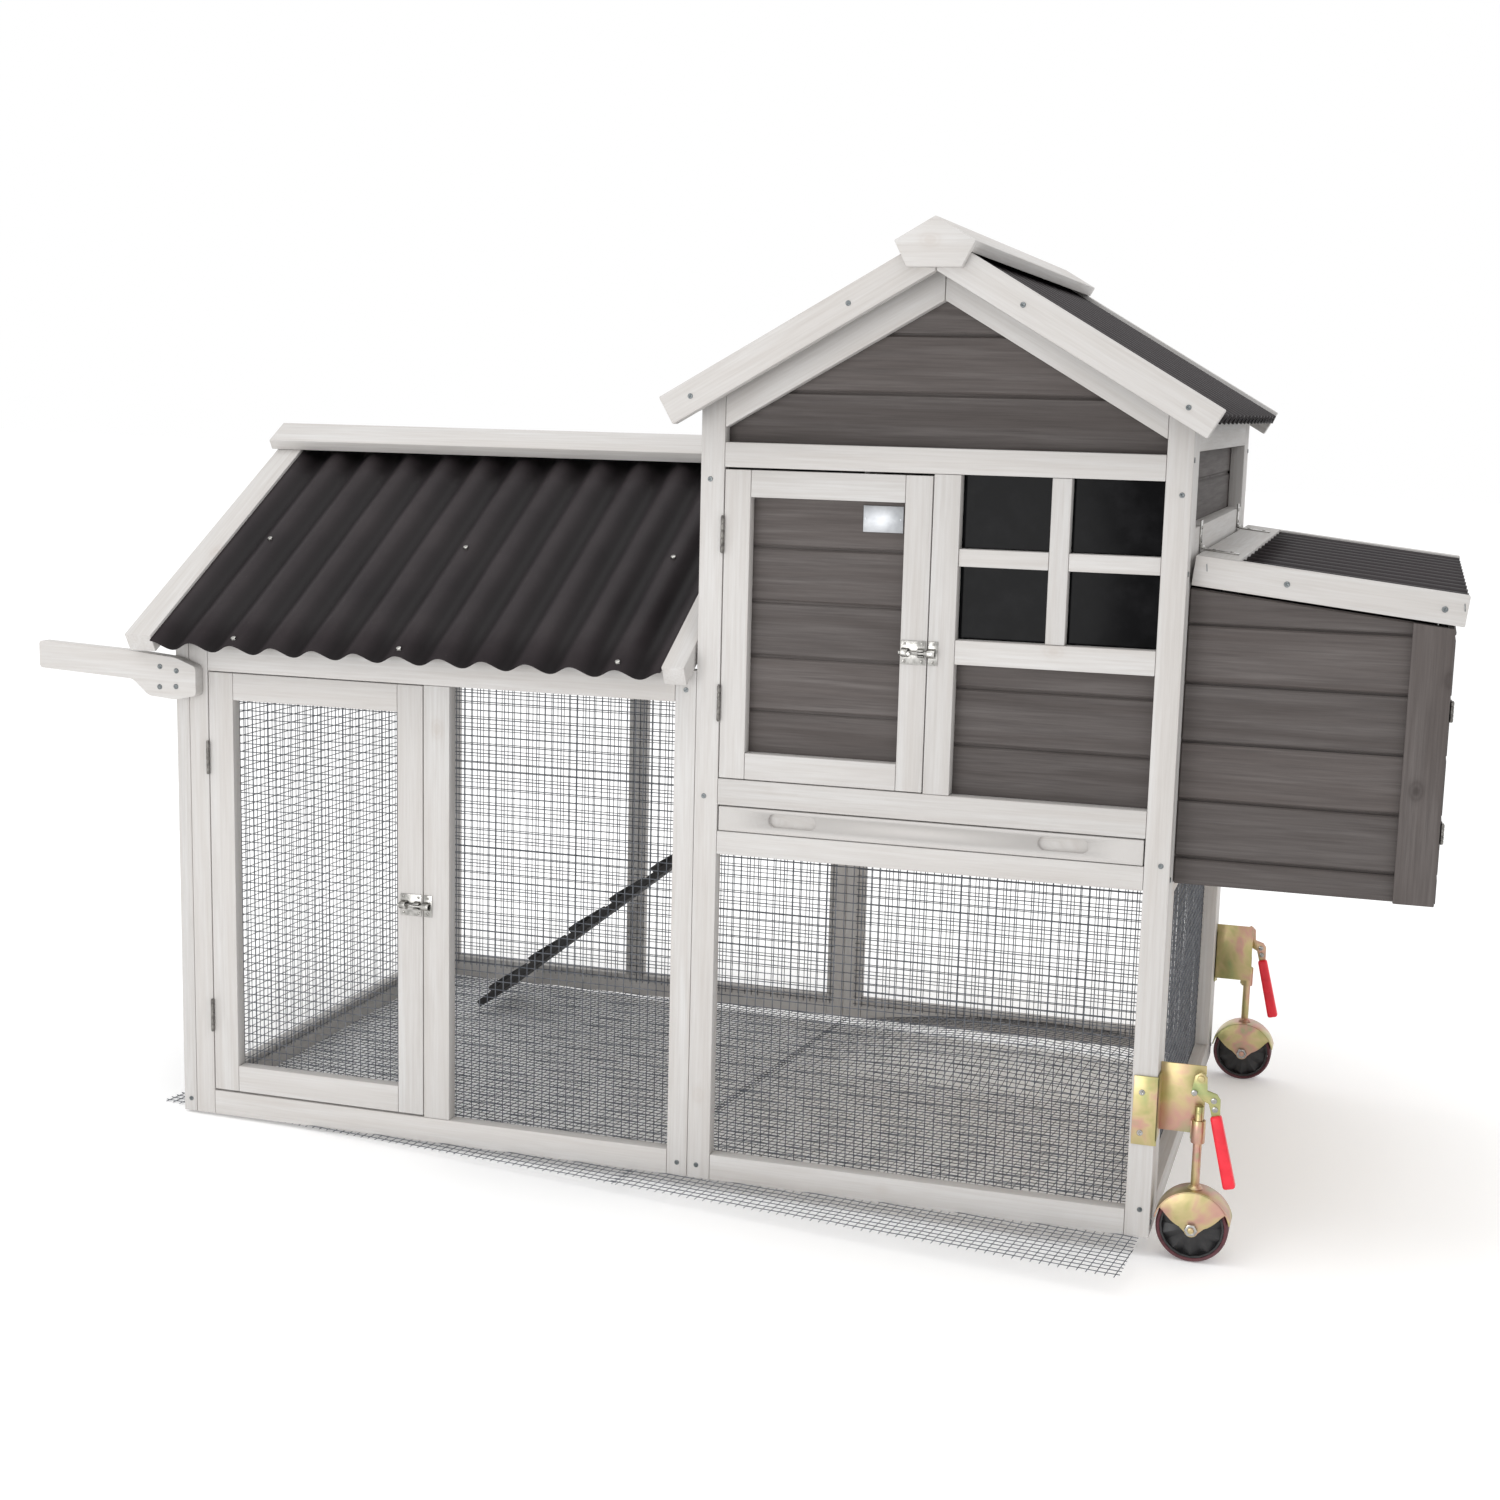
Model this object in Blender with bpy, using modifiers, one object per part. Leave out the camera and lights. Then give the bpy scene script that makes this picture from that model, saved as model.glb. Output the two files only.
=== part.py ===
"""Wooden chicken coop: a raised house with a nest box, a mesh run, and a pair of drop-down wheels.

All sizes are in metres. The design frame has its origin at the front left bottom corner of the
run: +X runs along the coop, from the run to the nest box, +Y runs from front to back and +Z is up.
An empty moves the whole model so that the middle of its footprint stands at the world's origin.
"""
import math

import bmesh
import bpy
from mathutils import Vector

# Driving dimensions
LENGTH = 1.500           # run and house together, along X
DEPTH = 0.915            # front frame to back frame, along Y
RUN_LENGTH = 0.832       # run alone; the house takes the rest
STOCK = 0.022            # thickness of the framing timber
GAP = 0.0005             # clearance between touching pieces
PITCH = math.radians(30) # slope of every roof
MESH_T = 0.001           # thickness of a wire mesh panel
BOARD_T = 0.010          # thickness of a tongue-and-groove panel
LAP = 0.014              # how far a panel laps over the frame behind it

RAIL = 0.038             # height of the bottom rails
SILL_TOP = 0.517         # top of the rail under the litter tray
RUN_TOP = 0.743          # top of the run's wall frames
DOOR_TOP = 0.697         # top of the run's door opening
HOUSE_POST = 0.034       # width of the house's corner posts
HOUSE_EAVE = 1.118       # top of the house's wall frames at the eaves
GABLE_SILL = 1.061       # top of the rail under the gable boards

EAVE_OVERHANG = 0.045    # run roof sheet past the front frame
RUN_EAVE_Z = 0.748       # top of the run roof sheet at its lower edge
RUN_SHEET_LEFT = -0.013
RUN_SHEET_RIGHT = 0.795
WAVE_PITCH = 0.0673
WAVE_HEIGHT = 0.015      # run roof; the house and lid sheets are pressed a little flatter
FLAT_WAVE_HEIGHT = 0.0135
SHEET_T = 0.0015

HOUSE_ROOF_APEX = 1.3310 # top of the house roof sheets, meeting at the ridge
HOUSE_SHEET_HALF = 0.372 # ridge to eave, level
BARGE_HALF = 0.376
BARGE_APEX = 1.3364
BARGE_DEPTH = 0.0415
BARGE_T = 0.020
ROOF_OVERHANG = 0.043    # house roof sheet past the front and back frames
CAP_HALF = 0.0535

NEST_OUT = 1.852         # outer end of the nest box lid
NEST_FRONT = 0.045
NEST_BACK = 0.895
NEST_FLOOR = 0.489
NEST_WALL_T = 0.012
LID_TOP = 0.932          # top of the lid at the house wall
LID_DROP = math.radians(6.2)
LID_DEPTH = 0.040

TRAY_TOP = 0.553
HANDLE_REACH = 0.226     # wheelbarrow handle past the run's left end
HANDLE_T = 0.020

WHEEL_R = 0.049
WHEEL_W = 0.033
WHEEL_DROP = 0.029       # wheels reach this far below the frame when they are let down
WHEEL_X = 1.556
WHEEL_Y = 0.024
PIVOT_X = 1.557
PIVOT_Z = 0.231

APRON_FRONT = -0.150     # furthest reach of the floor mesh in front of the frame

HOUSE_MID = (RUN_LENGTH + LENGTH) / 2
FOOTPRINT_MID_X = (NEST_OUT - HANDLE_REACH) / 2
FOOTPRINT_MID_Y = (APRON_FRONT + DEPTH + ROOF_OVERHANG + BARGE_T) / 2

COLOURS = {
    "white_wood": ((0.80, 0.77, 0.73), 0.62, 0.0),
    "grey_wood": ((0.125, 0.105, 0.098), 0.66, 0.0),
    "dark_wood": ((0.030, 0.028, 0.028), 0.70, 0.0),
    "plywood": ((0.50, 0.38, 0.25), 0.70, 0.0),
    "wire_mesh": ((0.40, 0.42, 0.43), 0.38, 0.9),
    "roof_sheet": ((0.030, 0.024, 0.025), 0.45, 0.0),
    "window_sheet": ((0.006, 0.006, 0.007), 0.08, 0.0),
    "zinc": ((0.62, 0.52, 0.28), 0.32, 0.9),
    "tray_zinc": ((0.55, 0.57, 0.58), 0.35, 0.9),
    "tyre": ((0.020, 0.018, 0.019), 0.60, 0.0),
    "latch_nickel": ((0.60, 0.60, 0.58), 0.25, 1.0),
}


def clear_scene():
    for obj in list(bpy.data.objects):
        bpy.data.objects.remove(obj, do_unlink=True)


def make_material(name):
    colour, roughness, metallic = COLOURS[name]
    material = bpy.data.materials.new(name)
    material.use_nodes = True
    shader = material.node_tree.nodes["Principled BSDF"]
    shader.inputs["Base Color"].default_value = (*colour, 1.0)
    shader.inputs["Roughness"].default_value = roughness
    shader.inputs["Metallic"].default_value = metallic
    return material


clear_scene()
MATERIALS = {name: make_material(name) for name in COLOURS}
COOP = bpy.data.collections.new("chicken_coop")
CUTTERS = bpy.data.collections.new("cutters")
bpy.context.scene.collection.children.link(COOP)
bpy.context.scene.collection.children.link(CUTTERS)


def make_empty(name, location, parent=None):
    empty = bpy.data.objects.new(name, None)
    COOP.objects.link(empty)
    empty.location = location
    empty.parent = parent
    return empty


ROOT = make_empty("coop_frame", (-FOOTPRINT_MID_X, -FOOTPRINT_MID_Y, WHEEL_DROP))


def place(name, mesh, finish, location=(0, 0, 0), rotation=(0, 0, 0), pivot=None):
    """Put a mesh in the coop, on the root empty or on a joint's empty."""
    obj = bpy.data.objects.new(name, mesh)
    COOP.objects.link(obj)
    mesh.materials.clear()
    mesh.materials.append(MATERIALS[finish])
    obj.location = location
    obj.rotation_euler = rotation
    obj.parent = ROOT
    if pivot is not None:
        obj.parent = pivot
        obj.location = Vector(location) - pivot.location
    return obj


def box_mesh(name, size):
    mesh = bpy.data.meshes.new(name)
    bm = bmesh.new()
    bmesh.ops.create_cube(bm, size=1.0)
    bmesh.ops.scale(bm, vec=size, verts=bm.verts)
    bm.to_mesh(mesh)
    bm.free()
    return mesh


def box(name, low, high, finish, pivot=None):
    """A box between two opposite corners of the design frame."""
    low, high = Vector(low), Vector(high)
    return place(name, box_mesh(name, high - low), finish, (low + high) / 2, pivot=pivot)


def rectangle(x0, y0, x1, y1):
    return [(x0, y0), (x1, y0), (x1, y1), (x0, y1)]


def circle(x, y, radius, sides=32):
    turn = 2 * math.pi / sides
    return [(x + radius * math.cos(i * turn), y + radius * math.sin(i * turn)) for i in range(sides)]


PLANES = {
    "XY": (0, 0, 0),
    "XZ": (math.pi / 2, 0, 0),
    "YZ": (math.pi / 2, 0, math.pi / 2),
}
THICKNESS_AXIS = {"XY": 2, "XZ": 1, "YZ": 0}


def outline_mesh(name, loops, thickness):
    """A flat outline with any holes, filled and extruded, as one welded mesh."""
    curve = bpy.data.curves.new(name, "CURVE")
    curve.dimensions = "2D"
    curve.fill_mode = "BOTH"
    curve.extrude = thickness / 2
    for loop in loops:
        spline = curve.splines.new("POLY")
        spline.points.add(len(loop) - 1)
        spline.use_cyclic_u = True
        for point, (x, y) in zip(spline.points, loop):
            point.co = (x, y, 0, 1)
    holder = bpy.data.objects.new(name, curve)
    bpy.context.scene.collection.objects.link(holder)
    graph = bpy.context.evaluated_depsgraph_get()
    mesh = bpy.data.meshes.new_from_object(holder.evaluated_get(graph))
    bpy.data.objects.remove(holder, do_unlink=True)
    bpy.data.curves.remove(curve)
    bm = bmesh.new()
    bm.from_mesh(mesh)
    bmesh.ops.remove_doubles(bm, verts=bm.verts, dist=0.00001)
    bmesh.ops.recalc_face_normals(bm, faces=bm.faces)
    bm.to_mesh(mesh)
    bm.free()
    mesh.name = name
    return mesh


def plate(name, plane, outline, start, end, finish, holes=(), pivot=None):
    """A flat piece: its outline lies in a plane, and it runs from start to end across it."""
    mesh = outline_mesh(name, [outline, *holes], end - start)
    location = Vector((0, 0, 0))
    location[THICKNESS_AXIS[plane]] = (start + end) / 2
    return place(name, mesh, finish, location, PLANES[plane], pivot)


def boolean(target, tools, operation):
    """Join or cut closed pieces, then keep the result and drop the tools."""
    for tool in tools:
        for collection in list(tool.users_collection):
            collection.objects.unlink(tool)
        CUTTERS.objects.link(tool)
        tool.hide_render = True
        tool.display_type = "WIRE"
        modifier = target.modifiers.new(tool.name, "BOOLEAN")
        modifier.operation = operation
        modifier.solver = "EXACT"
        modifier.object = tool
    return target


def drum(name, centre, radius, length, axis, finish, sides=24, pivot=None):
    """A closed cylinder along X, Y or Z."""
    mesh = bpy.data.meshes.new(name)
    bm = bmesh.new()
    bmesh.ops.create_cone(
        bm, cap_ends=True, segments=sides, radius1=radius, radius2=radius, depth=length
    )
    bm.to_mesh(mesh)
    bm.free()
    turns = {"X": (0, math.pi / 2, 0), "Y": (math.pi / 2, 0, 0), "Z": (0, 0, 0)}
    return place(name, mesh, finish, centre, turns[axis], pivot)


def chevron(mid, apex, half, depth):
    """Outline of two sloping boards that meet at a ridge, with square-cut lower ends."""
    drop = half * math.tan(PITCH)
    inset = depth * math.sin(PITCH)
    rise = depth * math.cos(PITCH)
    return [
        (mid - half, apex - drop),
        (mid - half + inset, apex - drop - rise),
        (mid, apex - depth / math.cos(PITCH)),
        (mid + half - inset, apex - drop - rise),
        (mid + half, apex - drop),
        (mid, apex),
    ]


def run_roof_height(y):
    """Top of the run's roof sheets over a point of the run's depth."""
    from_eave = min(y, DEPTH - y) + EAVE_OVERHANG
    return RUN_EAVE_Z + from_eave * math.tan(PITCH)


def gable(left, right, bottom, eave, inset=0.0):
    """Outline of a wall with the house roof's slope, held back from the roof line by inset."""
    rise = (HOUSE_MID - left) * math.tan(PITCH)
    return [
        (left, bottom),
        (right, bottom),
        (right, eave - inset),
        (HOUSE_MID, eave + rise - inset),
        (left, eave - inset),
    ]


# Run

def build_run():
    door_hole = rectangle(0.054, RAIL, 0.412, DOOR_TOP)
    fixed_hole = rectangle(0.4535, RAIL, 0.801, DOOR_TOP)
    wall = rectangle(STOCK + GAP, 0.0, RUN_LENGTH, RUN_TOP)
    plate("run_front_frame", "XZ", wall, 0.0, STOCK, "white_wood", [door_hole, fixed_hole])
    front_mesh = rectangle(0.4535 - LAP, RAIL - LAP, 0.801 + LAP, DOOR_TOP + LAP)
    plate("run_front_mesh", "XZ", front_mesh, STOCK + GAP, STOCK + GAP + MESH_T, "wire_mesh")

    back_holes = [rectangle(0.054, RAIL, 0.405, DOOR_TOP), rectangle(0.4385, RAIL, 0.801, DOOR_TOP)]
    plate("run_back_frame", "XZ", wall, DEPTH - STOCK, DEPTH, "white_wood", back_holes)
    back_mesh = rectangle(0.054 - LAP, RAIL - LAP, 0.801 + LAP, DOOR_TOP + LAP)
    inside = DEPTH - STOCK - GAP
    plate("run_back_mesh", "XZ", back_mesh, inside - MESH_T, inside, "wire_mesh")

    build_run_end()
    build_run_roof()


def build_run_end():
    """The run's left end: a gable frame with a mesh wall and a mesh gable."""
    stile = 0.040
    sheet_depth = 0.024
    eave = run_roof_height(0.0) - sheet_depth
    ridge = run_roof_height(DEPTH / 2) - sheet_depth
    mid = DEPTH / 2
    outline = [(0.0, 0.0), (DEPTH, 0.0), (DEPTH, eave), (mid, ridge), (0.0, eave)]
    wall_hole = rectangle(stile, RAIL, DEPTH - stile, DOOR_TOP)
    gable_foot = 0.735
    gable_side = 0.070
    gable_peak = gable_foot + (mid - gable_side) * math.tan(PITCH) - 0.010
    gable_hole = [(gable_side, gable_foot), (DEPTH - gable_side, gable_foot), (mid, gable_peak)]
    plate("run_left_frame", "YZ", outline, 0.0, STOCK, "white_wood", [wall_hole, gable_hole])
    edge = stile - LAP
    mesh_outline = [
        (edge, RAIL - LAP),
        (DEPTH - edge, RAIL - LAP),
        (DEPTH - edge, gable_foot),
        (mid, gable_peak + LAP),
        (edge, gable_foot),
    ]
    plate("run_left_mesh", "YZ", mesh_outline, STOCK + GAP, STOCK + GAP + MESH_T, "wire_mesh")


def corrugated_sheet(name, width, length, wave_height, location, rotation, pivot=None):
    """A flat-lying sheet whose waves run along its own Y axis, then turned into place."""
    steps_per_wave = 6
    waves = round(width / WAVE_PITCH)
    mesh = bpy.data.meshes.new(name)
    bm = bmesh.new()
    bmesh.ops.create_grid(bm, x_segments=waves * steps_per_wave, y_segments=1, size=0.5)
    for vert in bm.verts:
        phase = 2 * math.pi * vert.co.x * waves
        vert.co.x *= width
        vert.co.y *= length
        vert.co.z = wave_height / 2 * math.cos(phase)
    bm.to_mesh(mesh)
    bm.free()
    sheet = place(name, mesh, "roof_sheet", location, rotation, pivot)
    solid = sheet.modifiers.new("thickness", "SOLIDIFY")
    solid.thickness = SHEET_T
    solid.offset = 0.0
    return sheet


def run_roof_sheet(name, side):
    """side is -1 at the front and +1 at the back."""
    ridge_gap = 0.006
    half = DEPTH / 2 + EAVE_OVERHANG
    length = (half - ridge_gap) / math.cos(PITCH)
    mid_y = DEPTH / 2 + side * (ridge_gap + half) / 2
    drop = (WAVE_HEIGHT / 2 + SHEET_T) / math.cos(PITCH)
    location = ((RUN_SHEET_LEFT + RUN_SHEET_RIGHT) / 2, mid_y, run_roof_height(mid_y) - drop)
    width = RUN_SHEET_RIGHT - RUN_SHEET_LEFT
    corrugated_sheet(name, width, length, WAVE_HEIGHT, location, (-side * PITCH, 0, 0))


def build_run_roof():
    run_roof_sheet("run_roof_front", -1)
    run_roof_sheet("run_roof_back", 1)
    mid = DEPTH / 2
    half = mid + EAVE_OVERHANG
    ridge = run_roof_height(mid)
    board_above_sheet = 0.004
    barge = chevron(mid, ridge + board_above_sheet, half + 0.002, 0.030)
    plate("run_bargeboard", "YZ", barge, -0.058, RUN_SHEET_LEFT - GAP, "white_wood")
    plate("run_rafter", "YZ", barge, RUN_SHEET_RIGHT + GAP, 0.829, "white_wood")
    cap_t = 0.018
    cap_apex = ridge + board_above_sheet + GAP + cap_t / math.cos(PITCH)
    cap = chevron(mid, cap_apex, 0.050, cap_t)
    plate("run_ridge_cap", "YZ", cap, -0.068, 0.829, "white_wood")


# House

def build_house_front():
    left, right = RUN_LENGTH + GAP, LENGTH
    inner_left, inner_right = left + HOUSE_POST, right - HOUSE_POST
    rail_top = 0.5925
    post_right = 1.1975
    window_sill = 0.806
    window_head = 1.027
    muntin_x = (1.319, 1.345)
    muntin_z = (0.905, 0.9285)
    holes = [
        rectangle(inner_left, RAIL, inner_right, 0.484),
        rectangle(inner_left, SILL_TOP, inner_right, 0.555),
        rectangle(inner_left, rail_top, 1.161, 1.0255),
        rectangle(post_right, rail_top, inner_right, 0.773),
    ]
    for x0, x1 in ((post_right, muntin_x[0]), (muntin_x[1], inner_right)):
        for z0, z1 in ((window_sill, muntin_z[0]), (muntin_z[1], window_head)):
            holes.append(rectangle(x0, z0, x1, z1))
    gable_eave = GABLE_SILL + 0.020
    holes.append(gable(inner_left, inner_right, GABLE_SILL, gable_eave))
    wall = gable(left, right, 0.0, HOUSE_EAVE)
    plate("house_front_frame", "XZ", wall, 0.0, STOCK, "white_wood", holes)

    back = STOCK + GAP
    panel_right = right - STOCK - GAP
    lower = rectangle(inner_left - LAP, RAIL - LAP, panel_right, 0.484 + LAP)
    plate("house_front_mesh", "XZ", lower, back, back + MESH_T, "wire_mesh")
    window = rectangle(post_right - LAP, window_sill - 0.010, panel_right, window_head + 0.010)
    plate("window_pane", "XZ", window, back, back + 0.003, "window_sheet")
    panel = rectangle(post_right - LAP, rail_top - LAP, panel_right, 0.773 + LAP)
    plate("house_front_panel", "XZ", panel, back, back + BOARD_T, "grey_wood")
    boards = gable(inner_left - LAP, panel_right, GABLE_SILL - LAP, gable_eave + 0.004)
    plate("gable_front_boards", "XZ", boards, back, back + BOARD_T, "grey_wood")


def build_house_back():
    left, right = RUN_LENGTH + GAP, LENGTH
    inner_left, inner_right = left + HOUSE_POST, right - HOUSE_POST
    holes = [
        rectangle(inner_left, RAIL, inner_right, 0.484),
        rectangle(inner_left, SILL_TOP, inner_right, 1.027),
        gable(inner_left, inner_right, GABLE_SILL, GABLE_SILL + 0.020),
    ]
    wall = gable(left, right, 0.0, HOUSE_EAVE)
    plate("house_back_frame", "XZ", wall, DEPTH - STOCK, DEPTH, "white_wood", holes)
    inside = DEPTH - STOCK - GAP
    panel_right = right - STOCK - GAP
    lower = rectangle(inner_left - LAP, RAIL - LAP, panel_right, 0.484 + LAP)
    plate("house_back_mesh", "XZ", lower, inside - MESH_T, inside, "wire_mesh")
    boards = gable(inner_left - LAP, panel_right, SILL_TOP - LAP, GABLE_SILL + 0.024)
    plate("house_back_boards", "XZ", boards, inside - BOARD_T, inside, "grey_wood")


def build_house_right():
    start, end = STOCK + GAP, DEPTH - STOCK - GAP
    stile = 0.055
    opening_front, opening_back = start + stile, end - stile
    outer = LENGTH
    inner = LENGTH - STOCK
    wall = rectangle(start, 0.0, end, HOUSE_EAVE - 0.002)
    holes = [
        rectangle(opening_front, RAIL, opening_back, 0.470),
        rectangle(opening_front, SILL_TOP + 0.005, opening_back, 0.890),
        rectangle(opening_front, 0.9645, opening_back, 1.065),
    ]
    plate("house_right_frame", "YZ", wall, inner, outer, "white_wood", holes)
    skin = inner - GAP
    lower = rectangle(opening_front - LAP, RAIL - LAP, opening_back + LAP, 0.484)
    plate("house_right_mesh", "YZ", lower, skin - MESH_T, skin, "wire_mesh")
    panel = rectangle(opening_front - LAP, 0.9645 - LAP, opening_back + LAP, 1.065 + LAP)
    plate("house_right_boards", "YZ", panel, skin - BOARD_T, skin, "grey_wood")


def build_house_inside():
    start, end = STOCK + 2 * GAP + BOARD_T, DEPTH - STOCK - 2 * GAP - BOARD_T
    wall_left = RUN_LENGTH + GAP
    wall_right = wall_left + 0.012
    wall = rectangle(start, 0.503, end, HOUSE_EAVE - 0.002)
    pop_hole = rectangle(0.665, SILL_TOP + 0.028, 0.845, 0.830)
    plate("house_left_wall", "YZ", wall, wall_left, wall_right, "grey_wood", [pop_hole])
    floor_low = (wall_right + GAP, start, 0.5045)
    floor_high = (LENGTH - STOCK - GAP, end, SILL_TOP - GAP)
    box("house_floor", floor_low, floor_high, "plywood")
    box("perch", (1.030, start + 0.001, 0.660), (1.068, end - 0.001, 0.684), "plywood")


def house_roof_sheet(name, side):
    """side is -1 on the run's side and +1 over the nest box."""
    ridge_gap = 0.006
    length = (HOUSE_SHEET_HALF - ridge_gap) / math.cos(PITCH)
    width = DEPTH + 2 * (ROOF_OVERHANG - GAP)
    from_ridge = (HOUSE_SHEET_HALF + ridge_gap) / 2
    top = HOUSE_ROOF_APEX - from_ridge * math.tan(PITCH)
    drop = (FLAT_WAVE_HEIGHT + SHEET_T) / 2 / math.cos(PITCH)
    location = (HOUSE_MID + side * from_ridge, DEPTH / 2, top - drop)
    corrugated_sheet(name, width, length, FLAT_WAVE_HEIGHT, location, (side * PITCH, 0, math.pi / 2))


def half_chevron(side):
    """One sloping bargeboard, cut plumb at the ridge."""
    full = chevron(HOUSE_MID, BARGE_APEX, BARGE_HALF, BARGE_DEPTH)
    slope = math.tan(PITCH)
    ridge_x = HOUSE_MID + side * GAP
    top, bottom = BARGE_APEX - GAP * slope, BARGE_APEX - GAP * slope - BARGE_DEPTH / math.cos(PITCH)
    ends = full[0:2] if side < 0 else [full[4], full[3]]
    return [ends[0], ends[1], (ridge_x, bottom), (ridge_x, top)]


def build_house_roof():
    house_roof_sheet("roof_sheet_left", -1)
    house_roof_sheet("roof_sheet_right", 1)
    front = -ROOF_OVERHANG - BARGE_T
    back = DEPTH + ROOF_OVERHANG
    for end_name, start in (("front", front), ("back", back)):
        for side_name, side in (("left", -1), ("right", 1)):
            name = f"bargeboard_{end_name}_{side_name}"
            plate(name, "XZ", half_chevron(side), start, start + BARGE_T, "white_wood")
    cap_t = 0.0165
    cap_apex = BARGE_APEX + GAP + cap_t / math.cos(PITCH)
    cap = chevron(HOUSE_MID, cap_apex, CAP_HALF, cap_t)
    plate("house_ridge_cap", "XZ", cap, front, back + BARGE_T, "white_wood")
    shoulder = cap_apex - CAP_HALF * math.tan(PITCH)
    apex_plate = [
        (HOUSE_MID - CAP_HALF, shoulder),
        (HOUSE_MID - 0.036, 1.2915),
        (HOUSE_MID + 0.036, 1.2915),
        (HOUSE_MID + CAP_HALF, shoulder),
        (HOUSE_MID, cap_apex),
    ]
    plate("apex_plate", "XZ", apex_plate, front - GAP - 0.014, front - GAP, "white_wood")


# Nest box

def build_nest_box():
    inner = LENGTH + GAP
    outer = 1.826
    slope = math.tan(LID_DROP)
    top_inner = LID_TOP - LID_DEPTH / math.cos(LID_DROP) - 0.0035
    top_outer = top_inner - (outer - inner) * slope
    wall = [(inner, NEST_FLOOR), (outer, NEST_FLOOR), (outer, top_outer), (inner, top_inner)]
    plate("nest_front_wall", "XZ", wall, NEST_FRONT, NEST_FRONT + NEST_WALL_T, "grey_wood")
    plate("nest_back_wall", "XZ", wall, NEST_BACK - NEST_WALL_T, NEST_BACK, "grey_wood")
    floor_low = (inner, NEST_FRONT + NEST_WALL_T + GAP, NEST_FLOOR)
    floor_high = (outer, NEST_BACK - NEST_WALL_T - GAP, NEST_FLOOR + NEST_WALL_T)
    box("nest_floor", floor_low, floor_high, "plywood")

    end_hinge = make_empty("nest_end_axis", (outer + 0.016, NEST_FRONT - 0.003, 0.665), ROOT)
    end_low = (outer + GAP, NEST_FRONT, NEST_FLOOR)
    end_high = (outer + GAP + NEST_WALL_T, NEST_BACK, top_outer - 0.004)
    box("nest_end_door", end_low, end_high, "grey_wood", end_hinge)
    build_nest_lid()


def build_nest_lid():
    """The lid lies in a tilted plane, so its pieces are built flat and turned about the hinge."""
    lid_start = LENGTH + 0.003
    hinge = make_empty("nest_lid_axis", (LENGTH + 0.0015, DEPTH / 2, LID_TOP + 0.004), ROOT)
    length = (NEST_OUT - lid_start) / math.cos(LID_DROP) - LID_DEPTH * math.sin(LID_DROP)
    depth_half = 0.4375
    wall_rail, rail = 0.055, 0.022
    outline = rectangle(0.0, -depth_half, length, depth_half)
    window = rectangle(wall_rail, rail - depth_half, length - rail, depth_half - rail)
    mid_y = (NEST_FRONT + NEST_BACK) / 2
    turn = (0, LID_DROP, 0)

    def tilted(x, z):
        """A point of the flat lid, after the lid is turned and moved to the wall."""
        return (
            lid_start + LID_DEPTH * math.sin(LID_DROP) + x * math.cos(LID_DROP) + z * math.sin(LID_DROP),
            mid_y,
            LID_TOP - x * math.sin(LID_DROP) + z * math.cos(LID_DROP),
        )

    frame_mesh = outline_mesh("nest_lid_frame", [outline, window], LID_DEPTH)
    lid = place("nest_lid_frame", frame_mesh, "white_wood", tilted(0, -LID_DEPTH / 2), turn, hinge)
    sheet_depth = FLAT_WAVE_HEIGHT + SHEET_T
    sheet_top = -0.003
    rebate_depth = sheet_depth + 0.004
    spare = 0.010
    rebate_loop = rectangle(length - rail - spare, rail - depth_half, length + spare, depth_half - rail)
    rebate_mesh = outline_mesh("lid_rebate", [rebate_loop], rebate_depth + spare)
    rebate = place("lid_rebate", rebate_mesh, "white_wood", tilted(0, (spare - rebate_depth) / 2), turn, hinge)
    boolean(lid, [rebate], "DIFFERENCE")

    sheet_length = length - wall_rail - GAP
    sheet_width = 2 * (depth_half - rail - GAP)
    centre = tilted(wall_rail + GAP + sheet_length / 2, sheet_top - sheet_depth / 2)
    corrugated_sheet("nest_lid_sheet", sheet_width, sheet_length, FLAT_WAVE_HEIGHT, centre,
                     (LID_DROP, 0, math.pi / 2), hinge)


# Doors, tray, ramp and handles

def framed_door(name, low, high, rail, hinge):
    """A door frame with one opening; low and high are its corners in the front plane."""
    (x0, z0), (x1, z1) = low, high
    hole = rectangle(x0 + rail, z0 + rail, x1 - rail, z1 - rail)
    plate(f"{name}_frame", "XZ", rectangle(x0, z0, x1, z1), 0.0, 0.020, "white_wood", [hole], hinge)
    return rectangle(x0 + rail - LAP, z0 + rail - LAP, x1 - rail + LAP, z1 - rail + LAP)


def bolt(name, tip_x, z, hinge):
    """A sliding bolt in front of the door's free stile; its knob stands out in front."""
    y = -0.0065
    length = 0.040
    rod = drum(name, (tip_x - length / 2, y, z), 0.003, length, "X", "latch_nickel", 16, hinge)
    knob_at = (tip_x - length * 0.6, y - 0.006, z)
    knob = drum(f"{name}_knob", knob_at, 0.0022, 0.012, "Y", "latch_nickel", 12, hinge)
    boolean(rod, [knob], "UNION")


def build_doors():
    pin_y = -0.003
    play = 0.0015
    run_hinge = make_empty("run_door_axis", (0.0545, pin_y, 0.368), ROOT)
    low, high = (0.054 + play, RAIL + 0.003), (0.412 - play, DOOR_TOP - play)
    infill = framed_door("run_door", low, high, 0.041, run_hinge)
    plate("run_door_mesh", "XZ", infill, 0.0205, 0.0205 + MESH_T, "wire_mesh", pivot=run_hinge)
    bolt("run_door_bolt", 0.413, 0.366, run_hinge)

    hinge_x = RUN_LENGTH + GAP + HOUSE_POST
    house_hinge = make_empty("house_door_axis", (hinge_x, pin_y, 0.809), ROOT)
    low, high = (hinge_x + play, 0.5940), (1.161 - play, 1.0240)
    infill = framed_door("house_door", low, high, 0.037, house_hinge)
    plate("house_door_boards", "XZ", infill, 0.0205, 0.0285, "grey_wood", pivot=house_hinge)
    bolt("house_door_bolt", 1.162, 0.786, house_hinge)


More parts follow.
